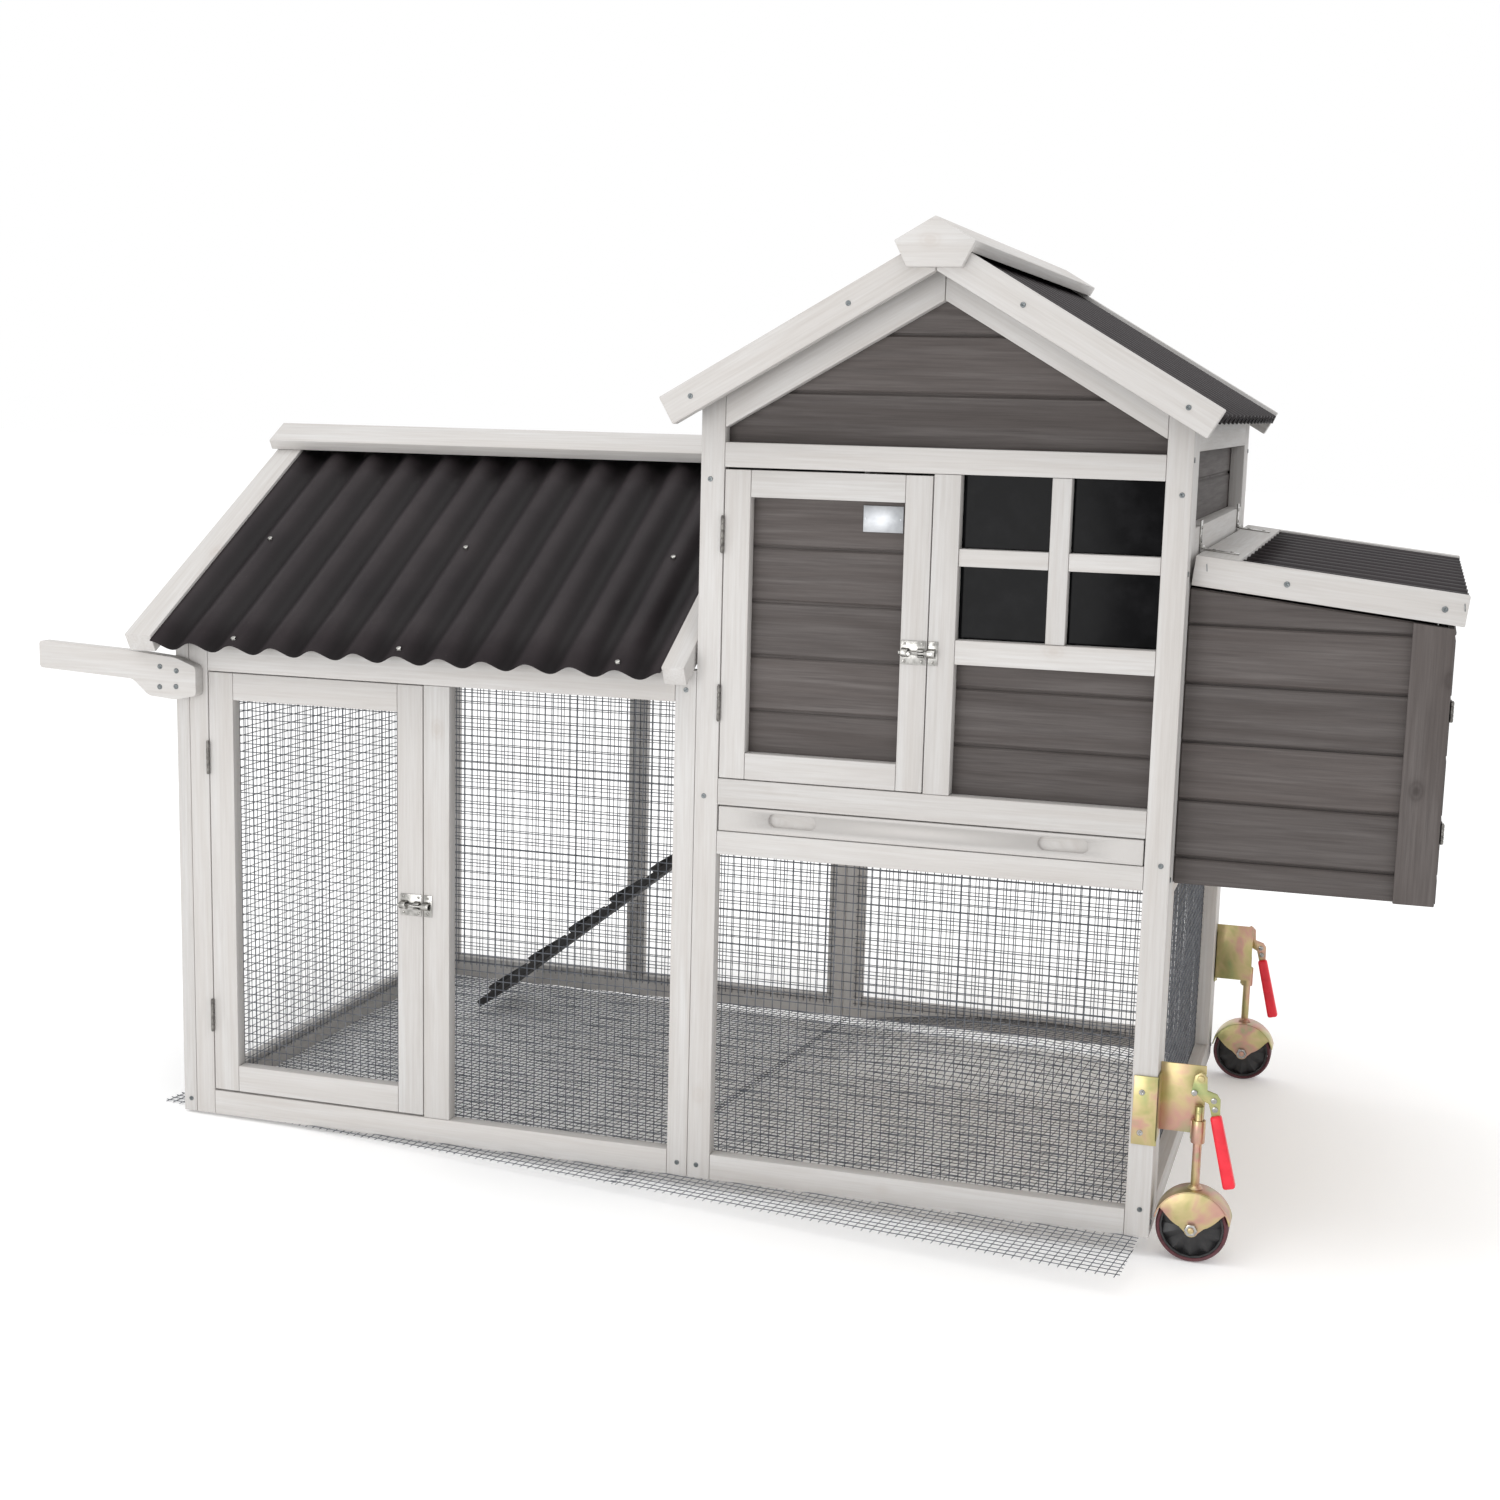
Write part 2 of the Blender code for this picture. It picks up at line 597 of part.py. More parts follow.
def stadium(mid_x, mid_z, width, height, steps=10):
    """Outline of a slot with round ends."""
    radius = height / 2
    reach = width / 2 - radius
    points = []
    for side in (1, -1):
        for step in range(steps + 1):
            angle = -math.pi / 2 + math.pi * step / steps
            x = mid_x + side * (reach + radius * math.cos(angle))
            points.append((x, mid_z + side * radius * math.sin(angle)))
    return points


def build_tray():
    x0 = RUN_LENGTH + GAP + HOUSE_POST + 0.002
    x1 = LENGTH - HOUSE_POST - 0.002
    floor = SILL_TOP + 0.001
    slide = make_empty("tray_axis", (HOUSE_MID, 0.0, floor), ROOT)
    front = box("tray_front", (x0, 0.001, floor), (x1, 0.019, TRAY_TOP), "white_wood", slide)
    grips = []
    for index, offset in enumerate((-0.19, 0.19)):
        slot = stadium(HOUSE_MID + offset, (floor + TRAY_TOP) / 2 + 0.002, 0.070, 0.020)
        grips.append(plate(f"grip_cutter_{index}", "XZ", slot, -0.010, 0.009, "white_wood", pivot=slide))
    boolean(front, grips, "DIFFERENCE")
    wall = 0.0012
    pan_start, pan_end = 0.0195, 0.860
    pan = box("tray_pan", (x0, pan_start, floor), (x1, pan_end, TRAY_TOP - 0.004), "tray_zinc", slide)
    hollow_low = (x0 + wall, pan_start + wall, floor + wall)
    hollow_high = (x1 - wall, pan_end - wall, TRAY_TOP + 0.020)
    hollow = box("tray_hollow", hollow_low, hollow_high, "tray_zinc", slide)
    boolean(pan, [hollow], "DIFFERENCE")


def build_ramp():
    """A plank with cleats, from the run's floor up to the pop hole in the house's left wall."""
    foot_x, head_x = 0.190, 0.828
    head_z = SILL_TOP - 0.004
    front, back = 0.680, 0.830
    plank_t = 0.012
    angle = math.atan2(head_z, head_x - foot_x)
    length = math.hypot(head_z, head_x - foot_x) - 0.012
    along = Vector((math.cos(angle), 0, math.sin(angle)))
    up = Vector((-math.sin(angle), 0, math.cos(angle)))
    foot = Vector((foot_x, (front + back) / 2, 0.0)) + up * (plank_t / 2) + along * 0.012
    centre = foot + along * length / 2
    plank = box_mesh("ramp", (length, back - front, plank_t))
    ramp = place("ramp", plank, "dark_wood", centre, (0, -angle, 0))
    cleats = []
    cleat_pitch = 0.100
    cleat_t = 0.010
    for index in range(7):
        spot = foot + along * (0.045 + index * cleat_pitch) + up * (plank_t / 2 + cleat_t / 2 - 0.001)
        mesh = box_mesh(f"cleat_{index}", (0.020, back - front - 0.004, cleat_t))
        cleats.append(place(f"cleat_{index}", mesh, "dark_wood", spot, (0, -angle, 0)))
    boolean(ramp, cleats, "UNION")


def build_handles():
    grip_top, grip_low = 0.7295, 0.688
    outline = [
        (-HANDLE_REACH, grip_top),
        (-HANDLE_REACH, grip_low),
        (-0.063, 0.680),
        (-0.035, 0.656),
        (0.0105, 0.6525),
        (0.046, 0.660),
        (0.046, 0.704),
        (0.012, 0.7165),
        (-0.0615, 0.7225),
    ]
    plate("handle_front", "XZ", outline, -GAP - HANDLE_T, -GAP, "white_wood")
    plate("handle_back", "XZ", outline, DEPTH + GAP, DEPTH + GAP + HANDLE_T, "white_wood")


def build_floor_mesh():
    """Two skewed sheets of mesh under the frame; both reach out in front as an apron."""
    low, high = -0.0013, -0.0003
    seam_front, seam_back = (0.745, -0.065), (0.850, DEPTH - 0.010)
    left = [(-0.053, 0.028), seam_front, seam_back, (0.047, DEPTH - 0.010)]
    plate("floor_mesh_left", "XY", left, low, high, "wire_mesh")
    step = 0.001
    right = [
        (seam_front[0] + step, seam_front[1]),
        (1.480, APRON_FRONT),
        (1.487, -0.005),
        (1.495, DEPTH - 0.010),
        (seam_back[0] + step, seam_back[1]),
    ]
    plate("floor_mesh_right", "XY", right, low, high, "wire_mesh")


# Wheel units

def across(y, mirrored):
    """The back unit is the front one, mirrored about the middle of the coop's depth."""
    return DEPTH - y if mirrored else y


def span(name, x, y, z, finish, mirrored, pivot=None):
    """A box from three (low, high) pairs, mirrored for the back unit."""
    y0, y1 = sorted((across(y[0], mirrored), across(y[1], mirrored)))
    return box(name, (x[0], y0, z[0]), (x[1], y1, z[1]), finish, pivot)


def y_drum(name, x, z, radius, y, finish, mirrored, sides=24, pivot=None):
    mid = across((y[0] + y[1]) / 2, mirrored)
    return drum(name, (x, mid, z), radius, y[1] - y[0], "Y", finish, sides, pivot)


def build_bracket(end, mirrored):
    """A bent plate screwed to the corner post, with the sleeve of the plunger and the lever's pin."""
    plate_t = 0.0025
    post_face = -GAP
    step_back = 0.0340
    bracket = span(
        f"wheel_bracket_{end}", (1.469, LENGTH + GAP + plate_t), (post_face - plate_t, post_face),
        (0.133, 0.230), "zinc", mirrored,
    )
    web = span(
        f"web_{end}", (LENGTH + GAP, LENGTH + GAP + plate_t), (post_face - plate_t, step_back),
        (0.140, 0.230), "zinc", mirrored,
    )
    wing = span(
        f"wing_{end}", (LENGTH + GAP, 1.562), (step_back - plate_t, step_back),
        (0.147, 0.243), "zinc", mirrored,
    )
    sleeve_at = (WHEEL_X, across(WHEEL_Y, mirrored), 0.153)
    sleeve = drum(f"sleeve_{end}", sleeve_at, 0.0095, 0.032, "Z", "zinc", 20)
    pin = y_drum(f"pin_{end}", PIVOT_X, PIVOT_Z, 0.003, (0.0085, step_back - 0.001), "zinc", mirrored, 16)
    bore = drum(f"bore_{end}", sleeve_at, 0.0065, 0.060, "Z", "zinc", 20)
    boolean(bracket, [web, wing, sleeve, pin], "UNION")
    boolean(bracket, [bore], "DIFFERENCE")


def build_plunger(end, mirrored):
    """The plunger: a rod, a round hood over the wheel, and the axle bolt across the hood."""
    axle_z = WHEEL_R - WHEEL_DROP
    axis = make_empty(f"plunger_axis_{end}", (WHEEL_X, across(WHEEL_Y, mirrored), 0.153), ROOT)
    side = WHEEL_W / 2 + 0.004
    skin = 0.002
    hood_r = WHEEL_R + 0.0035
    front, back = WHEEL_Y - side, WHEEL_Y + side
    hood = y_drum(f"wheel_hood_{end}", WHEEL_X, axle_z, hood_r, (front, back), "zinc", mirrored, 40, axis)
    hollow = y_drum(
        f"hood_hollow_{end}", WHEEL_X, axle_z, hood_r - skin, (front + skin, back - skin),
        "zinc", mirrored, 40, axis,
    )
    below = axle_z - 0.014
    trim = span(
        f"hood_trim_{end}", (WHEEL_X - 0.070, WHEEL_X + 0.070), (front - 0.010, back + 0.010),
        (below - 0.080, below), "zinc", mirrored, axis,
    )
    boolean(hood, [hollow, trim], "DIFFERENCE")
    rod_foot, rod_head = axle_z + hood_r - skin / 2, 0.1885
    rod_at = (WHEEL_X, across(WHEEL_Y, mirrored), (rod_foot + rod_head) / 2)
    rod = drum(f"rod_{end}", rod_at, 0.006, rod_head - rod_foot, "Z", "zinc", 20, axis)
    axle = y_drum(
        f"axle_{end}", WHEEL_X, axle_z, 0.0045, (front - 0.007, back + 0.007), "zinc", mirrored, 16, axis
    )
    boolean(hood, [rod, axle], "UNION")


def build_wheel(end, mirrored):
    mid = across(WHEEL_Y, mirrored)
    axle_z = WHEEL_R - WHEEL_DROP
    axis = make_empty(f"wheel_axis_{end}", (WHEEL_X, mid, axle_z), ROOT)
    rim = circle(WHEEL_X, axle_z, WHEEL_R, 48)
    bore = circle(WHEEL_X, axle_z, 0.0049, 16)
    plate(
        f"wheel_{end}", "XZ", rim, mid - WHEEL_W / 2, mid + WHEEL_W / 2, "tyre", [bore], axis
    )


def build_lever(end, mirrored):
    """The locking lever: a flat arm on the bracket's pin and a thicker grip that hangs beside the rod."""
    y0, y1 = sorted((across(0.010, mirrored), across(0.014, mirrored)))
    axis = make_empty(f"lever_axis_{end}", (PIVOT_X, (y0 + y1) / 2, PIVOT_Z), ROOT)
    arm = [
        (PIVOT_X - 0.008, PIVOT_Z + 0.004),
        (PIVOT_X - 0.007, PIVOT_Z - 0.007),
        (1.569, 0.196),
        (1.594, 0.090),
        (1.603, 0.092),
        (1.583, 0.205),
        (PIVOT_X + 0.008, PIVOT_Z + 0.005),
        (PIVOT_X, PIVOT_Z + 0.009),
    ]
    pin_hole = circle(PIVOT_X, PIVOT_Z, 0.0034, 16)
    lever = plate(f"wheel_lever_{end}", "XZ", arm, y0, y1, "zinc", [pin_hole], axis)
    grip_top, grip_foot = Vector((1.579, 0, 0.181)), Vector((1.603, 0, 0.082))
    lean = math.atan2(grip_foot.x - grip_top.x, grip_top.z - grip_foot.z)
    centre = (grip_top + grip_foot) / 2
    grip_size = (0.0175, 0.016, (grip_foot - grip_top).length)
    grip_at = (centre.x, (y0 + y1) / 2, centre.z)
    grip = place(f"grip_{end}", box_mesh(f"grip_{end}", grip_size), "zinc", grip_at, (0, -lean, 0), axis)
    boolean(lever, [grip], "UNION")


def build_wheel_units():
    for end, mirrored in (("front", False), ("back", True)):
        build_bracket(end, mirrored)
        build_plunger(end, mirrored)
        build_wheel(end, mirrored)
        build_lever(end, mirrored)


build_run()
build_house_front()
build_house_back()
build_house_right()
build_house_inside()
build_house_roof()
build_nest_box()
build_doors()
build_tray()
build_ramp()
build_handles()
build_floor_mesh()
build_wheel_units()
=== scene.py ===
"""Looks of a wooden chicken coop on wheels, built around its solid model.

Every length is in metres. Pieces are laid out in the coop's design frame, whose origin is the front
left bottom corner of the run: +X runs towards the nest box, +Y from front to back, +Z is up.
"""

import math
import random

import bmesh
import bpy
from mathutils import Matrix, Vector


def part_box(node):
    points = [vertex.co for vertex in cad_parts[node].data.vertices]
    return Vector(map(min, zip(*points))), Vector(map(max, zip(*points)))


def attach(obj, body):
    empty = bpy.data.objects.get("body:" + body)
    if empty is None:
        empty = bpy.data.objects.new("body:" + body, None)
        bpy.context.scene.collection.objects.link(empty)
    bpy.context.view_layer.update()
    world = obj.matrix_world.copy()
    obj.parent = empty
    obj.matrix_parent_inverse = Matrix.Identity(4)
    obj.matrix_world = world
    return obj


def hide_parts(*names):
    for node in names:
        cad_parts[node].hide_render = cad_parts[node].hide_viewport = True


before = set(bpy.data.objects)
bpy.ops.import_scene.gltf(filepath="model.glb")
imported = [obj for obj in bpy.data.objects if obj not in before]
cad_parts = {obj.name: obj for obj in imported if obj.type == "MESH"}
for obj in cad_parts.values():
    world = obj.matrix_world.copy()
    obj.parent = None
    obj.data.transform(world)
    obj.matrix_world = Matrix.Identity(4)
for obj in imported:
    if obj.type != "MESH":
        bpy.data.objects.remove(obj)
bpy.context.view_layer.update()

RUN_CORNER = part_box("run_front_frame")[0]
ORIGIN = Vector((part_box("run_left_frame")[0].x, RUN_CORNER.y, RUN_CORNER.z))


def node(name):
    """Lowest and highest corners of a node in the design frame."""
    low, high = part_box(name)
    return low - ORIGIN, high - ORIGIN


LAP = 0.014                     # lap of a panel behind its frame
SEAM = 0.0004                   # half the gap between two boards
PLAY = 0.0015                   # gap round a door
PROUD = 0.0003                  # how far hardware stands off the timber behind it
PITCH = math.radians(30)        # slope of the roofs of the run and the house
SLOPE = math.tan(PITCH)
NEST_DROP = math.radians(6.2)   # slope of the nest box's lid
CELL = 0.0127                   # half-inch welded mesh
WIRE_R = 0.00070                # radius of its wires
BOARD_PITCH = 0.0785            # tongue-and-groove board
GROOVE = 0.0034                 # gap at the bottom of the V between two boards
TONGUE = 0.008                  # tongue behind that gap
HOUSE_POST = 0.034              # corner post of the house
HOUSE_DOOR_RAIL = 0.037         # width of the house door's stiles and rails
GABLE_GAP = 0.020               # board left under each end of a gable's sloping members
RUN_GABLE_FOOT = 0.735          # top of the rail under the run's gable opening
RUN_GABLE_SIDE = 0.070          # how far in from the corner that opening starts
RUN_WAVES = 12                  # waves across the run's roof sheets
SHEET_T = 0.0022                # thickness of the roof sheets
BOLT_PLAY = 0.0006              # gap round a door bolt in its guides
STRAP_T = 0.0010                # thickness of the guides
SHARP = math.radians(30)        # edges over this angle stay sharp in the shading

RUN_HIGH = node("run_front_frame")[1]
HOUSE_LOW, HOUSE_HIGH = node("house_front_frame")
DEPTH = node("run_back_frame")[1].y
LENGTH = HOUSE_HIGH.x
HOUSE_MID = (HOUSE_LOW.x + HOUSE_HIGH.x) / 2


# Materials

class Shader:
    """A small helper that adds nodes to one material and links them."""

    def __init__(self, name, roughness=0.5, metallic=0.0):
        self.material = bpy.data.materials.new(name)
        self.material.use_nodes = True
        self.tree = self.material.node_tree
        self.principled = self.tree.nodes["Principled BSDF"]
        self.principled.inputs["Roughness"].default_value = roughness
        self.principled.inputs["Metallic"].default_value = metallic

    def add(self, kind, **settings):
        made = self.tree.nodes.new(kind)
        for key, value in settings.items():
            setattr(made, key, value)
        return made

    def link(self, source, target):
        self.tree.links.new(source, target)

    def coords(self, attribute=None):
        if attribute:
            return self.add("ShaderNodeAttribute", attribute_name=attribute).outputs["Vector"]
        return self.add("ShaderNodeTexCoord").outputs["Object"]

    def scaled(self, vector, scale):
        mapping = self.add("ShaderNodeMapping")
        mapping.inputs["Scale"].default_value = scale
        self.link(vector, mapping.inputs["Vector"])
        return mapping.outputs["Vector"]

    def noise(self, vector, scale, detail=3.0, roughness=0.55, distortion=0.0):
        made = self.add("ShaderNodeTexNoise")
        made.inputs["Scale"].default_value = scale
        made.inputs["Detail"].default_value = detail
        made.inputs["Roughness"].default_value = roughness
        made.inputs["Distortion"].default_value = distortion
        self.link(vector, made.inputs["Vector"])
        return made.outputs["Fac"]

    def ramp(self, value, *stops):
        """stops are (position, grey value or colour)."""
        made = self.add("ShaderNodeValToRGB")
        elements = made.color_ramp.elements
        while len(elements) < len(stops):
            elements.new(0.5)
        for element, (position, colour) in zip(elements, stops):
            element.position = position
            grey = not isinstance(colour, tuple)
            element.color = (colour, colour, colour, 1) if grey else (*colour, 1)
        self.link(value, made.inputs["Fac"])
        return made.outputs["Color"]

    def mix(self, factor, first, second, blend="MIX"):
        made = self.add("ShaderNodeMix", data_type="RGBA", blend_type=blend)
        for label, value in (("Factor", factor), ("A", first), ("B", second)):
            socket = next(s for s in made.inputs if s.name == label and s.enabled)
            if isinstance(value, bpy.types.NodeSocket):
                self.link(value, socket)
            elif isinstance(value, tuple):
                socket.default_value = (*value, 1)
            else:
                socket.default_value = value
        return next(s for s in made.outputs if s.enabled)

    def math(self, operation, first, second=0.0):
        made = self.add("ShaderNodeMath", operation=operation)
        for index, value in enumerate((first, second)):
            if isinstance(value, bpy.types.NodeSocket):
                self.link(value, made.inputs[index])
            else:
                made.inputs[index].default_value = value
        return made.outputs["Value"]

    def colour(self, value):
        self.link(value, self.principled.inputs["Base Color"])

    def rough(self, value, low, high):
        made = self.add("ShaderNodeMapRange")
        made.inputs["To Min"].default_value = low
        made.inputs["To Max"].default_value = high
        self.link(value, made.inputs["Value"])
        self.link(made.outputs["Result"], self.principled.inputs["Roughness"])

    def bump(self, value, strength, distance):
        made = self.add("ShaderNodeBump")
        made.inputs["Strength"].default_value = strength
        made.inputs["Distance"].default_value = distance
        self.link(value, made.inputs["Height"])
        self.link(made.outputs["Normal"], self.principled.inputs["Normal"])


def wood(name, light, dark, knot, streak, tones, rough, knot_strength):
    """Sawn softwood under a stain or a wash. Grain runs along the first axis of the grain attribute."""
    s = Shader(name)
    grain = s.coords("grain")
    tone = s.add("ShaderNodeAttribute", attribute_name="tone").outputs["Fac"]
    warp = s.noise(s.scaled(grain, (2.0, 9.0, 9.0)), 1.0, 2.0)
    rings_at = s.add("ShaderNodeVectorMath", operation="ADD")
    s.link(s.scaled(grain, (1.6, 55.0, 55.0)), rings_at.inputs[0])
    s.link(s.scaled(warp, (0.0, 3.2, 3.2)), rings_at.inputs[1])
    rings = s.noise(rings_at.outputs["Vector"], 1.0, 2.0, 0.4)
    fibre = s.noise(s.scaled(grain, (8.0, 270.0, 270.0)), 1.0, 4.0, 0.7)
    blotch = s.noise(s.scaled(grain, (5.0, 11.0, 11.0)), 1.0, 3.0)

    cells = s.add("ShaderNodeTexVoronoi", feature="F1")
    cells.inputs["Scale"].default_value = 1.0
    cells.inputs["Randomness"].default_value = 0.9
    s.link(s.scaled(grain, (6.5, 9.5, 9.5)), cells.inputs["Vector"])
    rare = s.math("GREATER_THAN", cells.outputs["Color"], 0.55)
    knot_core = s.ramp(cells.outputs["Distance"], (0.045, 1.0), (0.065, 0.40), (0.085, 0.62), (0.11, 0.18),
                       (0.15, 0.0))
    knots = s.math("MULTIPLY", knot_core, rare)

    base = s.mix(s.ramp(rings, (0.30, 0.0), (0.68, 1.0)), light, streak)
    base = s.mix(s.math("MULTIPLY", s.ramp(fibre, (0.38, 0.0), (0.72, 1.0)), 0.60), base, dark)
    base = s.mix(s.math("MULTIPLY", s.ramp(blotch, (0.42, 0.0), (0.70, 1.0)), 0.35), base, streak)
    base = s.mix(s.math("MULTIPLY", knots, knot_strength), base, knot)
    shade = s.ramp(tone, (0.0, tones[0]), (1.0, tones[1]))
    s.colour(s.mix(1.0, base, shade, "MULTIPLY"))
    relief = s.math("ADD", s.math("MULTIPLY", fibre, 0.6), s.math("MULTIPLY", rings, 0.4))
    s.rough(fibre, *rough)
    s.bump(relief, 0.35, 0.0006)
    return s.material


def speckled(name, low, high, scale, roughness, metallic=0.0, bump=0.15):
    """A surface whose colour, gloss and relief wander between two shades."""
    s = Shader(name, metallic=metallic)
    where = s.coords()
    broad = s.noise(where, scale, 4.0)
    fine = s.noise(where, scale * 9, 2.0)
    s.colour(s.mix(s.ramp(broad, (0.35, 0.0), (0.65, 1.0)), low, high))
    s.rough(fine, *roughness)
    s.bump(fine, bump, 0.0004)
    return s.material


def roof_sheeting():
    """Bitumen-fibre sheet: satin black-brown, a fine fleece pattern, faint dust, and painted shade in the
    valleys of the waves with painted light on their crests.
    """
    s = Shader("black_roof_sheet")
    s.principled.inputs["Specular IOR Level"].default_value = 0.12
    crest = s.add("ShaderNodeAttribute", attribute_name="crest").outputs["Fac"]
    where = s.coords()
    fleece = s.noise(where, 900.0, 2.0)
    dust = s.noise(where, 7.0, 5.0, 0.6)
    specks = s.noise(where, 260.0, 2.0, 0.8)
    base = s.mix(s.ramp(dust, (0.35, 0.0), (0.75, 1.0)), (0.0150, 0.0115, 0.0130), (0.0270, 0.0220, 0.0235))
    light_specks = s.math("MULTIPLY", s.ramp(specks, (0.66, 0.0), (0.78, 1.0)), 0.5)
    base = s.mix(light_specks, base, (0.055, 0.050, 0.050))
    # Painted shade and painted light: the crest attribute darkens the colour in the wave valleys and lightens
    # it on the crests.
    s.colour(s.mix(1.0, base, s.ramp(crest, (0.15, 0.45), (0.85, 1.15)), "MULTIPLY"))
    s.rough(dust, 0.42, 0.60)
    s.bump(fleece, 0.30, 0.0005)
    return s.material


def yellow_zinc():
    """Chromate passivated zinc: gold with pink and green interference patches."""
    s = Shader("yellow_zinc", metallic=0.85)
    where = s.coords()
    patches = s.noise(where, 15.0, 3.0, 0.55, 0.6)
    veins = s.noise(where, 70.0, 2.0, 0.5, 0.4)
    base = s.ramp(
        patches,
        (0.30, (0.25, 0.34, 0.14)),
        (0.44, (0.43, 0.39, 0.17)),
        (0.53, (0.54, 0.43, 0.23)),
        (0.62, (0.54, 0.29, 0.25)),
        (0.74, (0.30, 0.36, 0.19)),
    )
    s.colour(s.mix(s.math("MULTIPLY", veins, 0.25), base, (0.58, 0.50, 0.30)))
    s.rough(veins, 0.26, 0.44)
    s.bump(veins, 0.08, 0.0003)
    return s.material


def window_acrylic():
    s = Shader("dark_window", roughness=0.06)
    s.principled.inputs["Specular IOR Level"].default_value = 0.05
    where = s.coords()
    ripple = s.noise(where, 6.0, 3.0, 0.5)
    smear = s.noise(where, 24.0, 4.0, 0.6)
    film = s.ramp(smear, (0.45, 0.0), (0.80, 1.0))
    s.colour(s.mix(film, (0.0025, 0.0025, 0.0030), (0.0085, 0.0085, 0.0095)))
    s.rough(smear, 0.04, 0.16)
    s.bump(ripple, 0.10, 0.0020)
    return s.material


WHITE = wood("whitewashed_pine", (0.585, 0.575, 0.565), (0.44, 0.41, 0.385), (0.36, 0.28, 0.22),
             (0.530, 0.508, 0.488), (0.92, 1.0), (0.50, 0.72), 0.22)
GREY = wood("grey_stained_pine", (0.124, 0.109, 0.104), (0.046, 0.038, 0.036), (0.026, 0.018, 0.016),
            (0.080, 0.066, 0.061), (0.74, 1.0), (0.60, 0.85), 0.75)
CHARCOAL = wood("charcoal_stained_wood", (0.040, 0.038, 0.038), (0.016, 0.015, 0.015), (0.010, 0.010, 0.010),
                (0.026, 0.025, 0.025), (0.80, 1.0), (0.60, 0.85), 0.4)
PLY = wood("plain_pine", (0.62, 0.47, 0.30), (0.42, 0.28, 0.16), (0.22, 0.12, 0.06),
           (0.52, 0.37, 0.22), (0.88, 1.0), (0.55, 0.80), 0.7)
ROOFING = roof_sheeting()
ZINC = yellow_zinc()
WINDOW = window_acrylic()
GALVANISED = speckled("galvanised_wire", (0.075, 0.083, 0.098), (0.15, 0.16, 0.18), 60.0, (0.40, 0.60), 0.35)
TRAY_STEEL = speckled("galvanised_tray", (0.45, 0.47, 0.48), (0.62, 0.64, 0.65), 30.0, (0.30, 0.45), 0.9)
NICKEL = speckled("nickel_plate", (0.27, 0.265, 0.25), (0.46, 0.45, 0.43), 120.0, (0.16, 0.34), 1.0, 0.1)
HINGE_STEEL = speckled("hinge_steel", (0.10, 0.094, 0.088), (0.24, 0.23, 0.215), 160.0, (0.30, 0.50), 0.9)
SCREW_STEEL = speckled("dark_screw", (0.10, 0.115, 0.12), (0.22, 0.235, 0.24), 300.0, (0.30, 0.50), 0.85)
RED_GRIP = speckled("red_vinyl", (0.68, 0.010, 0.026), (0.84, 0.018, 0.040), 40.0, (0.22, 0.40), 0.0, 0.12)
BADGE = speckled("blank_badge_metal", (0.32, 0.33, 0.345), (0.40, 0.41, 0.425), 50.0, (0.30, 0.42), 0.7, 0.1)
HUB = speckled("black_hub", (0.010, 0.010, 0.011), (0.022, 0.021, 0.022), 80.0, (0.32, 0.52), 0.0, 0.2)
TREAD = speckled("dark_red_tread", (0.060, 0.010, 0.016), (0.095, 0.020, 0.026), 90.0, (0.45, 0.65), 0.0, 0.3)


# Mesh building

PLANES = {
    "XY": lambda a, b, c: Vector((a, b, c)),
    "XZ": lambda a, b, c: Vector((a, c, b)),
    "YZ": lambda a, b, c: Vector((c, a, b)),
}


def ring(radius, height, sides):
    """Points of a circle around Z."""
    turn = 2 * math.pi / sides
    return [(radius * math.cos(i * turn), radius * math.sin(i * turn), height) for i in range(sides)]


def bridge(bm, rings, sides):
    """Faces between neighbouring rings of vertices; a ring of one vertex is a tip."""
    for lower, upper in zip(rings, rings[1:]):
        for i in range(sides):
            j = (i + 1) % sides
            below = (lower[i % len(lower)], lower[j % len(lower)])
            above = (upper[j % len(upper)], upper[i % len(upper)])
            corners = list(dict.fromkeys(below + above))
            if len(corners) > 2:
                bm.faces.new(corners)


def add_piece(name, bm, material, body, nodes=(), sharp=None, thickness=None):
    """Makes a visible piece of a bmesh: it rides with a body and stands in for nodes."""
    mesh = bpy.data.meshes.new(name)
    bm.to_mesh(mesh)
    bm.free()
    mesh.materials.append(material)
    if sharp:
        mesh.set_sharp_from_angle(angle=sharp)
    piece = bpy.data.objects.new(name, mesh)
    bpy.context.scene.collection.objects.link(piece)
    piece.location = ORIGIN
    if thickness:
        solid = piece.modifiers.new("thickness", "SOLIDIFY")
        solid.thickness = thickness
        solid.offset = 0.0
    bpy.context.view_layer.update()
    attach(piece, body)
    if nodes:
        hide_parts(*nodes)
    return piece


